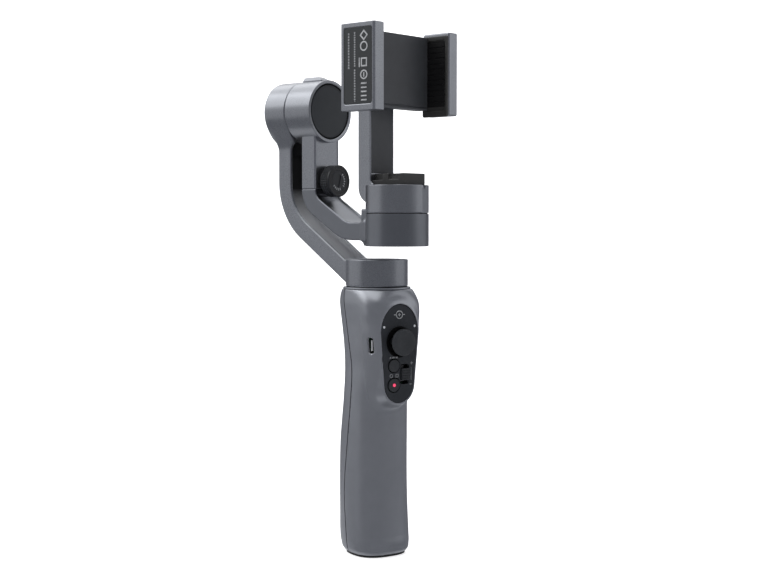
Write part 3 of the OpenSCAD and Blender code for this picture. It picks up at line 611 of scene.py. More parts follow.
def bow(p):
    """Distance in front of the panel's bowed face."""
    return np.hypot(p[:, Y] - BOW_R + PANEL_FRONT, p[:, Z] - CREST_Z) - BOW_R


def oval(u, v, half, depth, power):
    """Distance to a superellipse whose size changes with the height."""
    a, b = np.abs(u) / half, np.abs(v) / depth
    g = np.maximum((a**power + b**power) ** (1 / power), 1e-3)
    steep = np.hypot((a / g) ** (power - 1) / half, (b / g) ** (power - 1) / depth)
    return (g - 1) / steep


def grip_skin(p):
    """Grip without its openings: a lofted body and a drafted frame round the panel."""
    u, v, z = p.T
    half, front, rear, power = (flow(z, SECTIONS[:, (0, i)]) for i in (1, 2, 3, 4))
    rear_power = flow(z, ((0, 2.4), (140, 2.4), (152, 2.0)))
    body = oval(u, v, half, np.where(v < 0, front, rear), np.where(v < 0, power, rear_power))
    border = (egg(u, z) - 1.0 - 0.38 * (v + 22.1)) * 0.935
    border = rmax(rmax(border, bow(p) + 0.1, 0.7), v + 13)
    return rmin(body, border, 2.6)


def shell(p):
    u, v, z = p.T
    skin = grip_skin(p)
    body = rmax(skin, span(z, 1.2, SHELL_TOP), 0.35)
    body = cut(body, rmax(skin + WALL, span(z, 3.2, 147.6)))
    body = cut(body, rmax(egg(u, z) - 0.15, v + 6), 0.12)
    slot = rmax(plate(v, z, (-17, PORT_Z), (3.4, 9.0), 1.6), u + 10)
    body = cut(body, slot, 0.5)
    return cut(body, rod(p, Z, (0, 0), 17.4) + 1e3 * (z < 146))


def front_shell(p):
    return rmax(shell(p), p[:, Y] - flow(p[:, Z], SEAM), 0.12)


def rear_shell(p):
    return rmax(shell(p), flow(p[:, Z], SEAM) + SEAM_GAP - p[:, Y], 0.1)


def seam_strip(p):
    """Dark strip set back in the gap between the two shells."""
    skin = grip_skin(p)
    body = rmax(rmax(skin + 0.45, -skin - 1.6), span(p[:, Z], 2.5, 148.8))
    return rmax(body, np.abs(p[:, Y] - flow(p[:, Z], SEAM) - SEAM_GAP / 2) - STRIP_HALF)


def panel_point(u, z):
    """Point on the panel's face, in the handle's own frame, with the face's up direction."""
    tilt = math.asin((CREST_Z - z) / BOW_R)
    v = BOW_R - PANEL_FRONT - BOW_R * math.cos(tilt)
    return (u, v, CREST_Z - BOW_R * math.sin(tilt)), (0, -math.sin(tilt), math.cos(tilt))


def on_face(p, u, z):
    """Coordinates on the panel's face: across, in front of it, and up along it."""
    origin, up = panel_point(u, z)
    q = p - np.array(origin)
    return np.stack([q[:, X], -q[:, Y] * up[2] + q[:, Z] * up[1], q[:, Y] * up[1] + q[:, Z] * up[2]], 1)


def control_panel(p):
    body = rmax(rmax(egg(p[:, X], p[:, Z]), bow(p), 0.35), -(bow(p) + 2))
    for (u, z), radius in ((STICK, 8.6), (MODE, 4.0), (BUTTON, 4.2)):
        body = cut(body, rod(on_face(p, u, z), Y, (0, 0), radius), 0.25)
    q = on_face(p, *SLIDER)
    body = cut(body, plate(q[:, X], q[:, Z], (0, 0), (5.6, 11), 1.0), 0.2)
    for u in (-10.2, 10.2):
        body = cut(body, rod(on_face(p, u, 129.8), Y, (0, 0), 0.7))
    return body


def joystick_cap(p):
    """Broad thumb disc with a dished face and a rolled rim, on a stem with cross pins."""
    q = on_face(p, *STICK)
    radial = np.hypot(q[:, X], q[:, Z])
    cap = rmax(radial - 7.5, span(q[:, Y], 2.6, 5.2), 1.15)
    dish = np.sqrt(radial**2 + (q[:, Y] - 17.1) ** 2) - 12.6
    cap = cut(cap, dish, 0.5)
    stem = rmax(radial - 1.9, span(q[:, Y], -7, 4))
    pins = rmax(np.hypot(q[:, X], q[:, Y] + 5.6) - 0.8, np.abs(q[:, Z]) - 4.9)
    return np.minimum(rmin(cap, stem, 0.8), pins)


def key(spot, radius, lens=False):
    """Round button with a dished face, and a bore for its lens if it has one."""

    def f(p):
        q = on_face(p, *spot)
        radial = np.hypot(q[:, X], q[:, Z])
        cap = rmax(radial - radius, span(q[:, Y], -2.2, 0.5), 0.35)
        dish = np.sqrt(radial**2 + (q[:, Y] - 22) ** 2) - 21.8
        cap = cut(cap, dish, 0.2)
        foot = rmax(radial - radius + 1.4, span(q[:, Y], -3.2, -2))
        body = np.minimum(cap, foot)
        return cut(body, rmax(radial - 0.9, -1.2 - q[:, Y]), 0.12) if lens else body

    return f


def zoom_slider(p):
    q = on_face(p, *SLIDER)
    body = block(q, (-2.5, -2.1, -3.3), (2.5, 1.3, 3.3), 0.45)
    for z in (-2.2, -0.75, 0.75, 2.2):
        body = cut(body, block(q, (-4, 0.75, z - 0.32), (4, 3, z + 0.32), 0.1), 0.1)
    return np.minimum(body, block(q, (-1, -3.3, -1), (1, -2, 1), 0.05))


def build_handle():
    side, front, rear, top = 20, -23.2, 24.3, 150.3
    low, high = (-side, -2, 1), (side, 9, top)
    carve_turned("front_shell", "handle", PAINT_HANDLE, front_shell, (-side, front, 1), high, 0.72)
    carve_turned("rear_shell", "handle", PAINT_HANDLE, rear_shell, low, (side, rear, top), 0.72)
    low, high = (-side, -2, 2), (side, 10, 149.5)
    carve_turned("seam_strip", "handle", CHANNEL, seam_strip, low, high, 0.5, nodes=())
    low, high = (-12.6, front, 87), (12.6, -13, 142.6)
    carve_turned("control_panel", "handle", PANEL, control_panel, low, high, 0.36)
    controls = (
        ("joystick_cap", "joystick", RUBBER, joystick_cap, STICK, (8, 6.5, 8), (8, 8, 8), 0.3),
        ("mode_button", "mode_key", KEY, key(MODE, 3.5), MODE, (4, 1.6, 4), (4, 4.4, 4), 0.22),
        ("power_button", "power_key", KEY, key(BUTTON, 3.7, True), BUTTON, (4, 1.6, 4), (4, 4.4, 4), 0.22),
        ("zoom_slider", "zoom_key", KEY, zoom_slider, SLIDER, (3, 2, 4), (3, 4.4, 4), 0.2),
    )
    for name, body, look, f, spot, before, after, cell in controls:
        origin = np.array(panel_point(*spot)[0])
        carve_turned(name, body, look, f, origin - before, origin + after, cell)
    lip = ((17.35, 150.1, 0.05), (19.0, 150.1, 0.1), (19.0, 151, 0.25), (17.35, 151, 0.1))
    turned_piece("neck_lip", "handle", PAINT_HANDLE, lip, Z, (0, 0), nodes=())

    def tongue(p):
        return block(p, (-14.9, -17.35, PORT_Z - 3), (-10.9, -16.6, PORT_Z + 3), 0.15)

    low, high = (-15.0, -17.5, PORT_Z - 3.2), (-10.8, -16.4, PORT_Z + 3.2)
    carve_turned("port_tongue", "handle", INK_BRIGHT, tongue, low, high, 0.15, nodes=(), slot="switch_gray")


def panel_marks():
    """Generic marks in the places of the real panel's printing."""
    ring = arc((0, 0), 2.1)
    horizon = [[(-3.7, 0), (-2.1, 0)], [(2.1, 0), (3.7, 0)], [(-0.9, 0), (0.9, 0)], [(0, -0.9), (0, 0.9)]]
    dashes = [[(-2.6, 0), (-1.6, 0)], [(-1.0, 0), (0.6, 0)], [(1.2, 0), (2.6, 0)]]
    square = [(-0.8, -0.8), (0.8, -0.8), (0.8, 0.8), (-0.8, 0.8), (-0.8, -0.8)]
    plus = [[(-0.9, 0), (0.9, 0)], [(0, -0.9), (0, -0.21)], [(0, 0.21), (0, 0.9)]]
    marks = (
        ("mark_level", INK, 0, 136.4, [ring, *horizon], 0.5),
        ("mark_mode", INK_DIM, -3.9, 112.9, dashes, 0.9),
        ("mark_left", INK_DIM, -5.4, 102.7, [arc((0, 0), 0.9, 16)], 0.4),
        ("mark_right", INK_DIM, -1.6, 102.7, [square], 0.4),
        ("mark_plus", INK_DIM, 8.1, 109.3, plus, 0.4),
        ("mark_minus", INK_DIM, 7.7, 97.5, [[(-0.8, 0), (0.8, 0)]], 0.4),
        ("mark_scale", INK_DIM, 7.9, 103.4, [[(0, -3.6), (0, 3.6)]], 0.3),
    )
    for name, look, u, z, lines, width in marks:
        origin, up = panel_point(u, z)
        mesh = to_mesh(name, *ribbons(lines, width, INK_THICK, origin, (1, 0, 0), up))
        place(name, "handle", look, mesh, slot="light_lens", turned=True)


# ---------------------------------------------------------------- outer arm

PAN_R, RING = 17.5, (151.45, 166.55)
# Inner radius of the roll motor's housings
MOTOR_BORE = 15.9
ARM_SLOPE, ARM_Y, KNEE_Z = 34.6, 63.0, 192.7
ARM_BEND = 34.0
ARM_HALF = 4.95


def arm_line(first_y, top_z):
    """Centre line of the outer arm in the Y-Z plane."""
    tangent = ARM_BEND * math.tan(math.radians(90 - ARM_SLOPE) / 2)
    rise = math.tan(math.radians(ARM_SLOPE))
    level = math.cos(math.radians(ARM_SLOPE))
    bend_y = ARM_Y - tangent * level
    start = (first_y, KNEE_Z - (ARM_Y - first_y) * rise)
    steps = ((bend_y - first_y) / level, (ARM_BEND, 90 - ARM_SLOPE), top_z - KNEE_Z - tangent)
    return walk(start, ARM_SLOPE, *steps)


ARM = arm_line(10, ROLL_Z)
ARM_HALVES = ARM_HALF + np.interp(ARM[:, 0], (12, 50, 58), (0.3, 0.1, 0.0))
CHANNEL_LINE = beside(arm_line(15, ROLL_Z - 19.5), ARM_HALF - 1.3)
ROLL_R, SEAM_Y, REAR_Y = 17.9, 55.35, 72.0


def outer_arm(p):
    x, y, z = p.T
    arm = rmax(strip(p[:, 1:], ARM, ARM_HALVES), np.abs(x) - 10, 0.7)
    arm = cut(arm, arm_channel(p), 0.45)
    cup = drum(p, Y, (0, ROLL_Z), ROLL_R, SEAM_Y, REAR_Y, 0.7)
    body = rmin(arm, cup, 7.0)
    body = np.where(z > 214, rmax(body, SEAM_Y - y, 0.3), body)
    body = rmax(body, y - REAR_Y, 0.5)
    under_cup = rmax(ROLL_R + 0.05 - rod(p, Y, (0, ROLL_Z), 0), 216 - z)
    body = cut(body, rmax(rmax(np.abs(x) - 8.4, y - 59.3, 1.0), under_cup), 0.2)
    ring = drum(p, Z, (0, 0), PAN_R, *RING, 0.45)
    body = rmin(body, ring, 0.6)
    body = cut(body, rmax(rod(p, Z, (0, 0), 15.5), z - 176), 0.3)
    body = cut(body, rmax(rod(p, Y, (0, ROLL_Z), MOTOR_BORE), y - 68.5))
    body = cut(body, rmax(rod(p, Y, (0, ROLL_Z), MOTOR_BORE), 70.8 - y), 0.3)
    post = drum(p, Y, (0, ROLL_Z), 5.5, 41, 69, 0.2)
    return cut(np.minimum(body, post), rod(p, Y, (0, ROLL_Z), 4) + 1e3 * (z < 240))


def arm_channel(p, grow=0.0):
    return oval(p[:, X], strip(p[:, 1:], CHANNEL_LINE, 0), 8.5 + grow, 3.7 + grow, 2.6)


def seam_ring(inner, outer, low, high):
    """Profile of the thin dark ring in the seam between a motor's two halves."""
    return ((inner, low, 0.02), (outer, low, 0.02), (outer, high, 0.02), (inner, high, 0.02))


def arm_cover(p):
    """Lining of the channel's floor and walls, carried on up to the cup."""
    x, y, z = p.T
    edge = strip(p[:, 1:], ARM, ARM_HALVES) + 0.3
    lining = cut(arm_channel(p, 0.02), arm_channel(p, -0.8), 0.2)
    lining = rmax(rmax(lining, edge, 0.2), PAN_R + 0.2 - rod(p, Z, (0, 0), 0))
    patch = rmax(rmax(np.abs(x) - 8.3, span(y, 58.9, 59.35)), span(z, 226, 240))
    return np.minimum(lining, rmax(patch, ROLL_R + 0.1 - rod(p, Y, (0, ROLL_Z), 0)))


def build_outer_arm():
    low, high = (-17.6, -17.6, 151), (17.6, 72.2, 268.3)
    carve("outer_arm", "pan_arm", PAINT, outer_arm, low, high, 0.75)
    carve("arm_inner_cover", "pan_arm", LINING, arm_cover, (-8.7, 12, 150), (8.7, 68, 240.2), 0.5)
    top = RING[1]
    cap = (
        (0, top - 3.4, 0), (15.4, top - 3.4, 0.2), (15.4, top - 0.7, 0.35), (13.2, top - 0.7, 0.1),
        (13.0, top - 0.95, 0.1), (0, top - 0.95, 0),
    )
    turned_piece("pan_cap", "pan_arm", PAINT, cap, Z, (0, 0))
    seam = seam_ring(MOTOR_BORE, 17.4, 55.08, 55.32)
    turned_piece("roll_seam_ring", "pan_arm", CHANNEL, seam, Y, (0, ROLL_Z), nodes=())
    rear = (
        (0, 70.85, 0), (15.8, 70.85, 0.2), (15.8, 71.9, 0.35), (9.6, 71.9, 0.1),
        (9.4, 71.65, 0.1), (0, 71.65, 0),
    )
    turned_piece("roll_rear_cap", "pan_arm", PAINT, rear, Y, (0, ROLL_Z))


# ---------------------------------------------------------------- roll motor front, sleeve and knob

ROLL_FRONT = 35.5
SLEEVE_Y, SLEEVE_Z = (38.05, 49.2), 206.5


def slide_sleeve(p):
    x, y, z = p.T
    body = rmax(cmax(np.abs(x) - 10.3, span(y, *SLEEVE_Y), 0.8), span(z, SLEEVE_Z, ROLL_Z - 4), 0.3)
    panel = rmax(rmax(np.abs(x) - 8.7, y - SLEEVE_Y[0] - 0.3), span(z, 220.4, 246))
    body = cut(body, panel, 0.15)
    body = cut(body, rmax(rmax(np.abs(x) - 7.8, span(y, 39.6, 47.6)), z - 234), 0.2)
    body = cut(body, rmax(rod(p, Y, (0, KNOB_Z), 2.6), y - 41))
    return cut(body, rod(p, Y, (0, ROLL_Z), ROLL_R - 0.03))


def roll_top_block(p):
    top = ROLL_Z + ROLL_R + 2.3
    x, y, z = p.T
    body = rmax(block(p, (-4, 39, top - 8), (4, 53.8, top), 0.4), (43.2 - y) * 0.447 + (z - top) * 0.894, 0.2)
    body = rmax(body, (np.abs(x) - 4 + z - top + 1.9) * DIAGONAL, 0.2)
    return cut(body, rod(p, Y, (0, ROLL_Z), ROLL_R))


def lock_knob(p):
    """Knob with a knurled band between two plain rims."""
    front, seat = 28.7, 35.3
    x, y, z = p[:, X], p[:, Y], p[:, Z] - KNOB_Z
    radial = np.hypot(x, z)
    angle = np.arctan2(z, x)
    bumps = np.cos(20 * angle + 2.1 * y) * np.cos(20 * angle - 2.1 * y)
    band = np.clip(6 * (2.45 - np.abs(y - 32.35)), 0, 1)
    radius = 9.15 + band * (0.36 * bumps - 0.34)
    body = rmax((radial - radius) * 0.8, span(y, front, seat), 0.35)
    body = cut(body, rmax(radial - 7.7, y - front - 0.25), 0.15)
    body = cut(body, rmax(radial - 5.9, y - front - 1), 0.15)
    body = np.minimum(body, rmax(radial - 5, span(y, seat - 0.5, 37.9), 0.1))
    return np.minimum(body, rmax(radial - 2.5, span(y, 37, 39.62), 0.1))


def knob_cap(p):
    x, y, z = p[:, X], p[:, Y], p[:, Z] - KNOB_Z
    body = rmax(np.hypot(x, z) - 5.8, span(y, 29.0, 29.7), 0.15)
    a = math.radians(75)
    along, across = x * math.cos(a) + z * math.sin(a), -x * math.sin(a) + z * math.cos(a)
    bar = rmax(plate(along, across, (0, 0), (7.6, 2.0), 0.95), y - 29.4)
    return cut(body, bar, 0.15)


def build_roll_arm():
    f = ROLL_FRONT
    rim = ROLL_R - 1.9
    housing = (
        (2, f + 1.75, 0), (rim, f + 1.75, 0.05), (rim, f + 0.4, 0.1), (rim + 0.3, f + 0.05, 0.1),
        (ROLL_R, f + 0.05, 0.3), (ROLL_R, 55.05, 0.2), (MOTOR_BORE, 55.05, 0.1), (MOTOR_BORE, f + 4, 0.3),
        (2, f + 4, 0),
    )
    turned_piece("roll_housing", "roll_arm", PAINT, housing, Y, (0, ROLL_Z), segments=160)
    disc = (
        (0, f + 0.62, 0), (0, f + 1.7, 0), (rim - 0.9, f + 1.7, 0.1), (rim - 0.9, f + 0.55, 0.3),
        (rim - 1.6, f + 0.55, 0.1), (rim - 1.8, f + 0.62, 0.1),
    )
    turned_piece("roll_cover_disc", "roll_arm", DISC, disc, Y, (0, ROLL_Z), segments=160)
    inner, outer = rim - 0.86, rim - 0.04
    groove = ((inner, f + 0.75, 0), (outer, f + 0.75, 0), (outer, f + 1.7, 0), (inner, f + 1.7, 0))
    turned_piece("roll_disc_groove", "roll_arm", CHANNEL, groove, Y, (0, ROLL_Z), nodes=())
    carve("slide_sleeve", "roll_arm", PAINT, slide_sleeve, (-10.4, 38, 206), (10.4, 49.4, 247.5), 0.45)
    carve("roll_top_block", "roll_arm", PAINT, roll_top_block, (-4.2, 38.8, 263), (4.2, 54, 271.6), 0.3)
    low, high = (-9.4, 28.5, KNOB_Z - 9.4), (9.4, 39.8, KNOB_Z + 9.4)
    carve("lock_knob", "knob", KNURL, lock_knob, low, high, 0.26)
    carve("knob_cap", "knob", KEY, knob_cap, (-6, 28.8, KNOB_Z - 6), (6, 29.9, KNOB_Z + 6), 0.2)
    ticks = [
        [(r * math.cos(a), r * math.sin(a)) for r in (4.1, 5.4)]
        for a in np.radians((*range(-35, 60, 17), *range(215, 300, 17)))
    ]
    lines = ribbons(ticks, 0.6, INK_THICK, (0, 29.0, KNOB_Z), (1, 0, 0), (0, 0, 1))
    place("knob_marks", "knob", INK_BRIGHT, to_mesh("knob_marks", *lines), slot="knob_black")


# ---------------------------------------------------------------- slide arm

TILT_R, TILT_Z = 17.6, (173.9, 191.95)
ROD_TOP, ROD_LEVEL, ROD_SLOPE = 206.2, 182.15, 32
ROD_W = 20.4


def rod_line():
    first = walk((43.6, ROD_TOP), -90, (12, -(90 - ROD_SLOPE)))
    drop = first[-1][1] - ROD_LEVEL - 20 * (1 - math.cos(math.radians(ROD_SLOPE)))
    steps = ((12, -(90 - ROD_SLOPE)), drop / math.sin(math.radians(ROD_SLOPE)), (20, -ROD_SLOPE), 22)
    return walk((43.6, ROD_TOP + 3), -90, 3, *steps)


ROD = rod_line()
ROD_HALVES = np.linspace(5.5, 5.05, len(ROD))


def slide_rod(p):
    x, y, z = p.T
    body = rmax(rmax(strip(p[:, 1:], ROD, ROD_HALVES), np.abs(x) - ROD_W / 2, 0.6), z - ROD_TOP, 0.25)
    top_face = beside(ROD, -(ROD_HALVES.mean() + 1.0))
    hollow = rmax(rmax(strip(p[:, 1:], top_face, 1.75), np.abs(x) - 8.4, 0.4), z - 203)
    body = cut(body, hollow, 0.25)
    motor = rod(p, Z, (0, TILT_Y), TILT_R)
    flare = rmax(motor - 1.2, span(z, TILT_Z[0] + 0.2, 189), 0.5)
    flare = rmax(flare, np.abs(x) - ROD_W / 2, 0.6)
    body = rmin(body, rmax(flare, -y - 4), 3.2)
    lug = block(p, (-7, -6, 182), (7, 5.9, 194.8), 0.8)
    body = rmin(body, lug, 1.0)
    stem = block(p, (-7.7, 39.7, ROD_TOP - 3), (7.7, 47.5, 228.2), 0.4)
    body = np.minimum(body, stem)
    body = cut(body, rmax(motor, z - 192.2))
    body = cut(body, rmax(motor - 0.35, 191.2 - z))
    return cut(body, rmax(rod(p, Y, (0, KNOB_Z), 9.65), y - 37.95), 0.2)


def build_slide_arm():
    # The rod and the lower tilt housing get the darker copy of the paint: painted shade.
    carve("slide_rod", "slide_arm", PAINT_SHADED, slide_rod, (-10.5, -7.5, 173.3), (10.5, 50, 228.4), 0.6)
    low, high = TILT_Z
    housing = (
        (4, low + 1.15, 0), (16.1, low + 1.15, 0.1), (16.2, low + 0.05, 0.15), (17.6, low + 0.05, 0.45),
        (17.6, high, 0.15), (15.6, high, 0.1), (15.6, low + 3.1, 0.3), (5.5, low + 3.1, 0.1),
        (5.5, 204.2, 0.1), (4, 204.2, 0.1),
    )
    turned_piece("tilt_lower_housing", "slide_arm", PAINT_SHADED, housing, Z, (0, TILT_Y), segments=160)
    seam = seam_ring(15.0, 16.9, high + 0.03, high + 0.42)
    turned_piece("tilt_seam_ring", "slide_arm", CHANNEL, seam, Z, (0, TILT_Y), nodes=())
    cap = ((0, low + 0.15, 0), (16.0, low + 0.15, 0.25), (16.0, low + 1.1, 0.1), (0, low + 1.1, 0))
    turned_piece("tilt_bottom_cap", "slide_arm", DISC, cap, Z, (0, TILT_Y))


# ---------------------------------------------------------------- tilt head

ROTOR_Z = (192.4, 207.8)
UPRIGHT_Y = (-4.0, 5.1)


def tilt_upper(p):
    """Upper half of the tilt motor, with a flat and a notch on the side that faces the front."""
    x, y, z = p.T
    radial = rod(p, Z, (0, TILT_Y), 0)
    body = rmax(radial - TILT_R, span(z, *ROTOR_Z), 0.3)
    facing = (0.225, -0.974)
    out = facing[0] * x + facing[1] * (y - TILT_Y)
    along = -facing[1] * x + facing[0] * (y - TILT_Y)
    body = rmax(body, out - TILT_R + 0.35, 0.1)
    notch = (out - TILT_R + 2.4 + z - ROTOR_Z[1]) * DIAGONAL
    body = cut(body, rmax(-notch, span(along, -3.2, 1.0)), 0.2)
    body = cut(body, rmax(radial - 15.6, z - 205.3))
    return cut(body, rmax(radial - 2, z - 207))


def upright_arm(p):
    x, y, z = p.T
    toe_z = ROTOR_Z[1] - 1.1
    wall = rmax(span(y, *UPRIGHT_Y), toe_z - z)
    toe = rmax(np.hypot(y - UPRIGHT_Y[0], z - toe_z) - (UPRIGHT_Y[1] - UPRIGHT_Y[0]), UPRIGHT_Y[0] - y)
    side = rmin(wall, toe)
    foot = rmax(rmax(z - ROTOR_Z[1] - 0.9, ROTOR_Z[1] - z), UPRIGHT_Y[0] - 2.0 - y)
    side = np.minimum(side, rmax(rmin(side, rmax(foot, y), 2.5), 9.2 - np.abs(x), 0.2))
    width = np.where(z > PIVOT_Z, np.hypot(x, z - PIVOT_Z), np.abs(x)) - 10.1
    body = rmax(side, width, 0.55)
    recess = rmax(rmax(np.abs(x) - 9.2, y - UPRIGHT_Y[0] - 1.2), span(z, 214.5, 257.5))
    body = cut(body, recess, 0.2)
    return cut(body, rmax(rod(p, Z, (0, TILT_Y), TILT_R + 0.02), z - ROTOR_Z[1] - 0.02))


def upright_cover(p):
    body = rmax(np.abs(p[:, X]) - 9.1, span(p[:, Y], -4.05, -2.85), 0.25)
    return rmax(body, span(p[:, Z], 214.6, 257.4), 0.25)


def phone_rest(p):
    x, y, z = p.T
    low, high = limits("phone_rest")
    body = block(p, (-9, low[1], low[2]), (9, high[1] - 0.03, high[2]), 0.5)
    side = np.abs(x)
    notch = rmax(rmax(6.4 - side, -12.2 - y, 0.4), 210.6 - z, 0.4)
    body = cut(body, notch, 0.2)
    facet = (side + z - 219.7) * DIAGONAL
    body = cut(body, rmax(-facet, span(y, -24.3, -16.2), 0.4), 0.15)
    well = block(p, (-4.5, -21.5, 212.8), (4.5, -12.5, 216), 0.5)
    return cut(body, well, 0.3)


def build_tilt_head():
    low, high = (-17.7, -32.8, 192), (17.7, 2.8, 208)
    carve("tilt_upper_housing", "tilt_head", PAINT, tilt_upper, low, high, 0.55)
    carve("upright_arm", "tilt_head", PAINT, upright_arm, (-10.3, -7.2, 197), (10.3, 5.3, 280.8), 0.55)
    low, high = (-9.3, -4.2, 214.4), (9.3, -2.7, 257.6)
    carve("upright_cover", "tilt_head", PLATE, upright_cover, low, high, 0.4, slot="panel_black")
    carve("phone_rest", "tilt_head", REST, phone_rest, (-9.2, -27.9, 207.7), (9.2, -3.9, 214.4), 0.4)
    hub = ((0, -9.4, 0), (3, -9.4, 0.2), (3, -6.7, 0), (8.5, -6.7, 0.3), (8.5, -3.95, 0), (0, -3.95, 0))
    turned_piece("clamp_pivot", "tilt_head", STEEL, hub, Y, (0, PIVOT_Z))


# ---------------------------------------------------------------- clamp

FIXED = limits("fixed_jaw")
MOVING = limits("moving_jaw")
BACK = limits("clamp_plate")
LINER = limits("jaw_slider")
LABEL_BOX = limits("label_plate")
JAW_MID = (FIXED[0] + FIXED[1]) / 2
LABEL_MID = (LABEL_BOX[0] + LABEL_BOX[1]) / 2
JAW_X = MOVING[0][0]
GUIDE_Y, GUIDE_APART = -12, 14
RIB_PITCH = 3.0


def guides(p, radius):
    """The two round bores in which the guide rods run."""
    return np.minimum(*(rod(p, X, (GUIDE_Y, PIVOT_Z + s), radius) for s in (-GUIDE_APART, GUIDE_APART)))


def grooves(p, half):
    """Evenly spaced grooves across a jaw's pad."""
    return np.abs(np.mod(p[:, Z] - PIVOT_Z + RIB_PITCH / 2, RIB_PITCH) - RIB_PITCH / 2) - half


def fixed_jaw(p):
    x, y, z = p.T
    low, high = FIXED
    outline = rmax(span(x, low[0], high[0]), span(y, low[1], high[1]), 0.3)
    outline = rmax(outline, (low[0] + low[1] + 1.0 - x - y) * DIAGONAL, 0.15)
    body = rmax(outline, span(z, low[2], high[2]), 0.3)
    label = rmax(plate(y, z, (JAW_MID[1] - 0.1, JAW_MID[2] + 0.4), (20.1, 41), 1.3), x - low[0] - 0.8)
    body = cut(body, label, 0.25)
    pad = rmax(plate(y, z, (low[1] + 7.2, PIVOT_Z), (10.8, 37), 1.0), high[0] - 1 - x)
    return cut(body, pad, 0.2)


def label_plate(p):
    low, high = LABEL_BOX
    outline = plate(p[:, Y], p[:, Z], (LABEL_MID[1] - 0.1, LABEL_MID[2]), (19.8, 40.7), 1.2)
    return rmax(outline, span(p[:, X], low[0], high[0]), 0.15)


def clamp_plate(p):
    x, y, z = p.T
    low, high = BACK
    body = rmax(span(y, low[1], high[1]), span(z, low[2], high[2]), 0.8)
    body = rmax(body, span(x, low[0] - 0.02, high[0]), 0.3)
    body = cut(body, block(p, (-20, -13.2, PIVOT_Z - 8.9), (60, -10.4, PIVOT_Z + 8.9), 0.1))
    body = cut(body, rmax(guides(p, 1.6), -22 - x))
    lower = rmax(span(z, low[2] + 1.5, low[2] + 1.9), y - low[1] - 0.25)
    body = cut(body, lower, 0.05)
    return cut(body, rmax(rod(p, Y, (0, PIVOT_Z), 3.1), -9.8 - y), 0.2)


def moving_jaw(p):
    x, y, z = p.T
    low, high = MOVING
    body = cmax(span(x, low[0], high[0]), span(y, low[1], high[1]), 0.7)
    body = rmax(body, span(z, low[2], high[2]), 0.8)
    panel = rmax(plate(y, z, ((low[1] + high[1]) / 2, PIVOT_Z), (15.4, 41), 1.2), high[0] - 0.5 - x)
    body = cut(body, panel, 0.25)
    return cut(body, rmax(guides(p, 1.5), x - low[0] - 5))


def jaw_slider(p):
    """Black liner with raised lips, and the tongue that runs in the plate."""
    x, y, z = p.T
    low, high = LINER
    mid_z = (low[2] + high[2]) / 2
    outline = plate(y, z, (-20.3, mid_z), (17.9, high[2] - low[2]), 1.0)
    body = rmax(outline, span(x, JAW_X - 1.5, JAW_X), 0.35)
    inner = rmax(plate(y, z, (-20.9, mid_z + 0.6), (13.4, 39.4), 1.4), x - JAW_X + 0.75)
    body = cut(body, inner, 0.3)
    body = cut(body, guides(p, 1.5))
    tongue = block(p, (-12, -12.9, PIVOT_Z - 8.7), (JAW_X - 0.5, -11.5, PIVOT_Z + 8.7), 0.2)
    return np.minimum(body, tongue)


def moving_pad(p):
    body = block(p, (JAW_X - 1.35, -27.3, PIVOT_Z - 18.2), (JAW_X - 0.72, -14.6, PIVOT_Z + 18.6), 0.3)
    return cut(body, rmax(grooves(p, 0.35), p[:, X] - JAW_X + 1.1), 0.1)


def fixed_pad(p):
    face, y = FIXED[1][0], FIXED[0][1]
    body = block(p, (face - 1, y + 1.9, PIVOT_Z - 18.4), (face + 0.3, y + 12.5, PIVOT_Z + 18.4), 0.3)
    return cut(body, rmax(grooves(p, 0.4), face - p[:, X]), 0.1)


def label_marks():
    """Generic rows of dashes and plain shapes in the places of the real label's printing."""
    origin = (LABEL_BOX[0][0], LABEL_MID[1], LABEL_MID[2])

    def row(across, first, last, dash, gap):
        out, at = [], first
        while at > last:
            out.append([(across, at), (across, max(at - dash, last))])
            at -= dash + gap
        return out

    def marks(name, look, lines, width):
        mesh = to_mesh(name, *ribbons(lines, width, INK_THICK, origin, (0, -1, 0), (0, 0, 1)))
        place(name, "clamp", look, mesh, slot="label_black")

    small = row(-6.4, 17.5, -1.5, 1.1, 0.4)
    small += row(-2.1, 17.8, -0.5, 0.9, 0.35) + row(-2.1, -2.0, -19, 1.0, 0.4)
    marks("label_rows", INK, small, 1.0)
    big = [[(4.4, 18.2), (6.8, 15.8), (4.4, 13.4), (2.0, 15.8), (4.4, 18.2)], arc((4.4, 10), 2.3)]
    big += [[(2.7, 3.6), (6.3, 3.6), (6.3, -0.4), (2.7, -0.4), (2.7, 3.6)], [(1.2, 4.0), (1.2, -1.0)]]
    big += [arc((4.4, -5.0), 2.2), [(4.4, -6.2), (4.4, -3.8)]]
    big += [[(2.4, at), (6.4, at)] for at in (-9.6, -11.8, -14.0, -16.2, -18.4)]
    marks("label_icons", INK_BRIGHT, big, 0.75)


def build_clamp():
    carve("fixed_jaw", "clamp", PAINT, fixed_jaw, *FIXED, 0.45)
    carve("label_plate", "clamp", LABEL, label_plate, *LABEL_BOX, 0.4)
    carve("clamp_plate", "clamp", PLATE, clamp_plate, *BACK, 0.5)
    carve("fixed_jaw_pad", "clamp", GRIP, fixed_pad, (-29, -28, 251.5), (-27.4, -16.5, 289.3), 0.35)
    carve("moving_jaw", "moving_jaw_set", PAINT, moving_jaw, *MOVING, 0.45)
    low, high = LINER[0] - (0.2, 0, 0), LINER[1] + 0.1
    carve("jaw_slider", "moving_jaw_set", REST, jaw_slider, low, high, 0.42, slot="plate_black")
    carve("moving_jaw_pad", "moving_jaw_set", GRIP, moving_pad, (26, -28, 251.5), (27.3, -14, 289.3), 0.35)


# ---------------------------------------------------------------- CAD nodes that stay

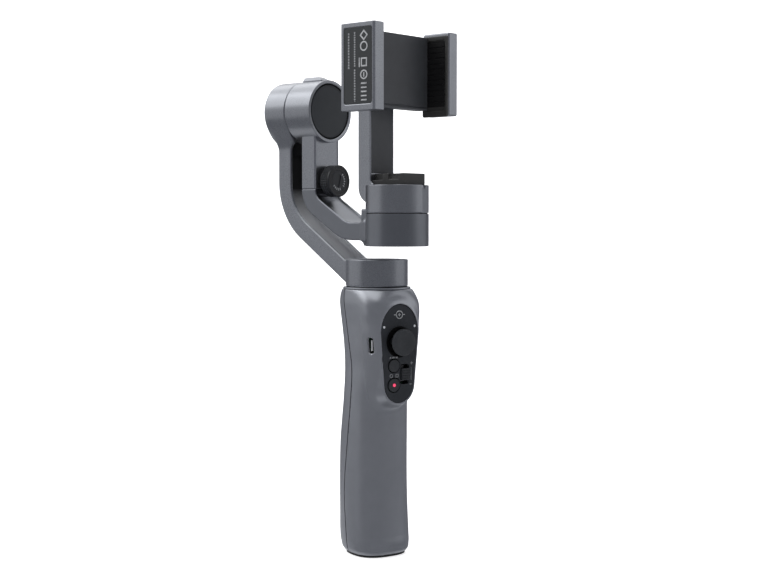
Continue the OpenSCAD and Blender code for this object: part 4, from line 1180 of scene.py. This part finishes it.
CAD_LOOKS = {
    "base_plate": BASE, "tripod_insert": BRASS, "base_screws": STEEL, "joystick_housing": CHANNEL,
    # The USB port's shell and the joystick cradle get the black channel look: painted shade for the port's
    # dark cavity and the gap round the stick.
    "status_lights": LENS, "control_board": BOARD, "tact_switches": SWITCH, "usb_port": CHANNEL,
    "main_board": BOARD, "battery_cell": CELL, "battery_holder": BASE, "neck_collar": BASE,
    "joystick_cradle": CHANNEL, "power_button_lens": POWER, "guide_rods": STEEL,
}
for motor in ("pan", "roll", "tilt"):
    for part, look in (("stator", COPPER), ("magnets", MAGNET), ("shaft", STEEL), ("bearings", STEEL)):
        CAD_LOOKS[f"{motor}_{part}"] = look


def dress_cad_nodes():
    """Fine bevels and a full material on each CAD node that is shown as it is."""
    for name, look in CAD_LOOKS.items():
        piece = frame["nodes"][name]
        for held in piece.material_slots:
            held.material = look
        weld = piece.modifiers.new("weld", "WELD")
        weld.merge_threshold = 1e-6
        bevel = piece.modifiers.new("bevel", "BEVEL")
        bevel.width = 0.00008
        bevel.segments = 2
        bevel.limit_method = "ANGLE"
        bevel.angle_limit = math.radians(40)
        bevel.harden_normals = True


# ---------------------------------------------------------------- floor, light and camera


def stage_set(ahead):
    """Pale floor curving up into a backdrop, kept out of reflections; its glow makes up for the falloff."""
    side = Vector((ahead.y, -ahead.x, 0))
    far, curve, top = 2.4, 0.5, 1.3
    profile = [(away, 0.0) for away in (-2.5, -0.8, 0.4, 1.2, far)]
    bend = np.radians(np.arange(6, 91, 6))
    profile += [(far + curve * math.sin(a), curve - curve * math.cos(a)) for a in bend]
    profile += [(far + curve, top)]
    points, faces = [], []
    for i, (away, height) in enumerate(profile):
        for s in (-3.0, 3.0):
            points.append(ahead * away + side * s + Vector((0, 0, height - 0.0002)))
        if i:
            n = 2 * i
            faces.append((n - 2, n - 1, n + 1, n))
    mesh = bpy.data.meshes.new("studio_floor")
    mesh.from_pydata(points, [], faces)
    mesh.polygons.foreach_set("use_smooth", np.ones(len(faces), bool))
    white = bpy.data.materials.new("studio_white")
    white.use_nodes = True
    shader = white.node_tree.nodes["Principled BSDF"]
    shader.inputs["Base Color"].default_value = (0.86, 0.86, 0.86, 1)
    shader.inputs["Roughness"].default_value = 0.8
    shader.inputs["Emission Color"].default_value = (1, 1, 1, 1)
    tree = white.node_tree
    distance = node(tree, "ShaderNodeVectorMath", operation="DOT_PRODUCT")
    distance.inputs[1].default_value = ahead
    link(tree, object_space(tree), distance.inputs[0])
    glow = ramp(tree, distance.outputs["Value"], 0.72, 1.05, (0.1, 1.0))
    link(tree, glow, shader.inputs["Emission Strength"])
    mesh.materials.append(white)
    floor = bpy.data.objects.new("studio_floor", mesh)
    bpy.context.scene.collection.objects.link(floor)
    floor.visible_glossy = floor.visible_shadow = False


def softbox(name, at, aim, size, glow):
    """Rectangular lamp facing a point and hidden from the camera, as bright per area as its glow says."""
    data = bpy.data.lights.new(name, "AREA")
    data.shape = "RECTANGLE"
    data.size, data.size_y = size
    data.energy = glow * math.pi * size[0] * size[1]
    lamp = bpy.data.objects.new(name, data)
    lamp.visible_camera = False
    bpy.context.scene.collection.objects.link(lamp)
    lamp.location = at
    lamp.rotation_mode = "QUATERNION"
    lamp.rotation_quaternion = (aim - at).to_track_quat("-Z", "Y")


# Name, place from the object's middle (right of it, beyond it, above it), size and glow
LAMPS = (
    ("top_light", (-0.2, 0.1, 1.2), (2.2, 2.0), 1.0),
    ("left_light", (-1.3, 0.1, 0.85), (1.8, 0.8), 1.15),
    ("left_fill", (-1.4, 0.1, 0.1), (1.8, 0.75), 0.26),
    ("right_light", (1.3, -0.1, 0.5), (1.5, 0.75), 0.48),
    ("right_fill", (1.35, 0.2, -0.02), (1.3, 0.35), 0.28),
    ("back_light", (-0.2, 1.5, 1.05), (3.0, 0.9), 0.75),
    ("under_light", (-0.2, 0.6, -0.85), (1.8, 1.5), 0.3),
)


def studio():
    """Camera at the photograph's angle, with strong lamps above and at the left and weaker ones round it."""
    heading, pitch = math.radians(49.13), math.radians(-2.76)
    ahead = Vector((math.sin(heading), math.cos(heading), 0))
    right = Vector((ahead.y, -ahead.x, 0))
    up = Vector((0, 0, 1))
    data = bpy.data.cameras.new("camera")
    data.sensor_width = 36
    data.lens = 66.571875
    data.clip_start, data.clip_end = 0.01, 30
    camera = bpy.data.objects.new("camera", data)
    bpy.context.scene.collection.objects.link(camera)
    camera.location = (-0.6024, -0.5266, 0.1885)
    camera.rotation_mode = "QUATERNION"
    forward = ahead * math.cos(pitch) + up * math.sin(pitch)
    camera.rotation_quaternion = forward.to_track_quat("-Z", "Y")
    bpy.context.scene.camera = camera
    stage_set(ahead)
    centre = up * 0.19
    for name, (across, beyond, above), size, glow in LAMPS:
        softbox(name, centre + right * across + ahead * beyond + up * above, centre, size, glow)
    world = bpy.data.worlds.new("studio_world")
    world.use_nodes = True
    background = world.node_tree.nodes["Background"]
    background.inputs["Color"].default_value = (0.175, 0.180, 0.200, 1)
    background.inputs["Strength"].default_value = 1.0
    bpy.context.scene.world = world
    bpy.context.scene.view_settings.view_transform = "Standard"


build_handle()
panel_marks()
build_outer_arm()
build_roll_arm()
build_slide_arm()
build_tilt_head()
build_clamp()
label_marks()
dress_cad_nodes()
studio()
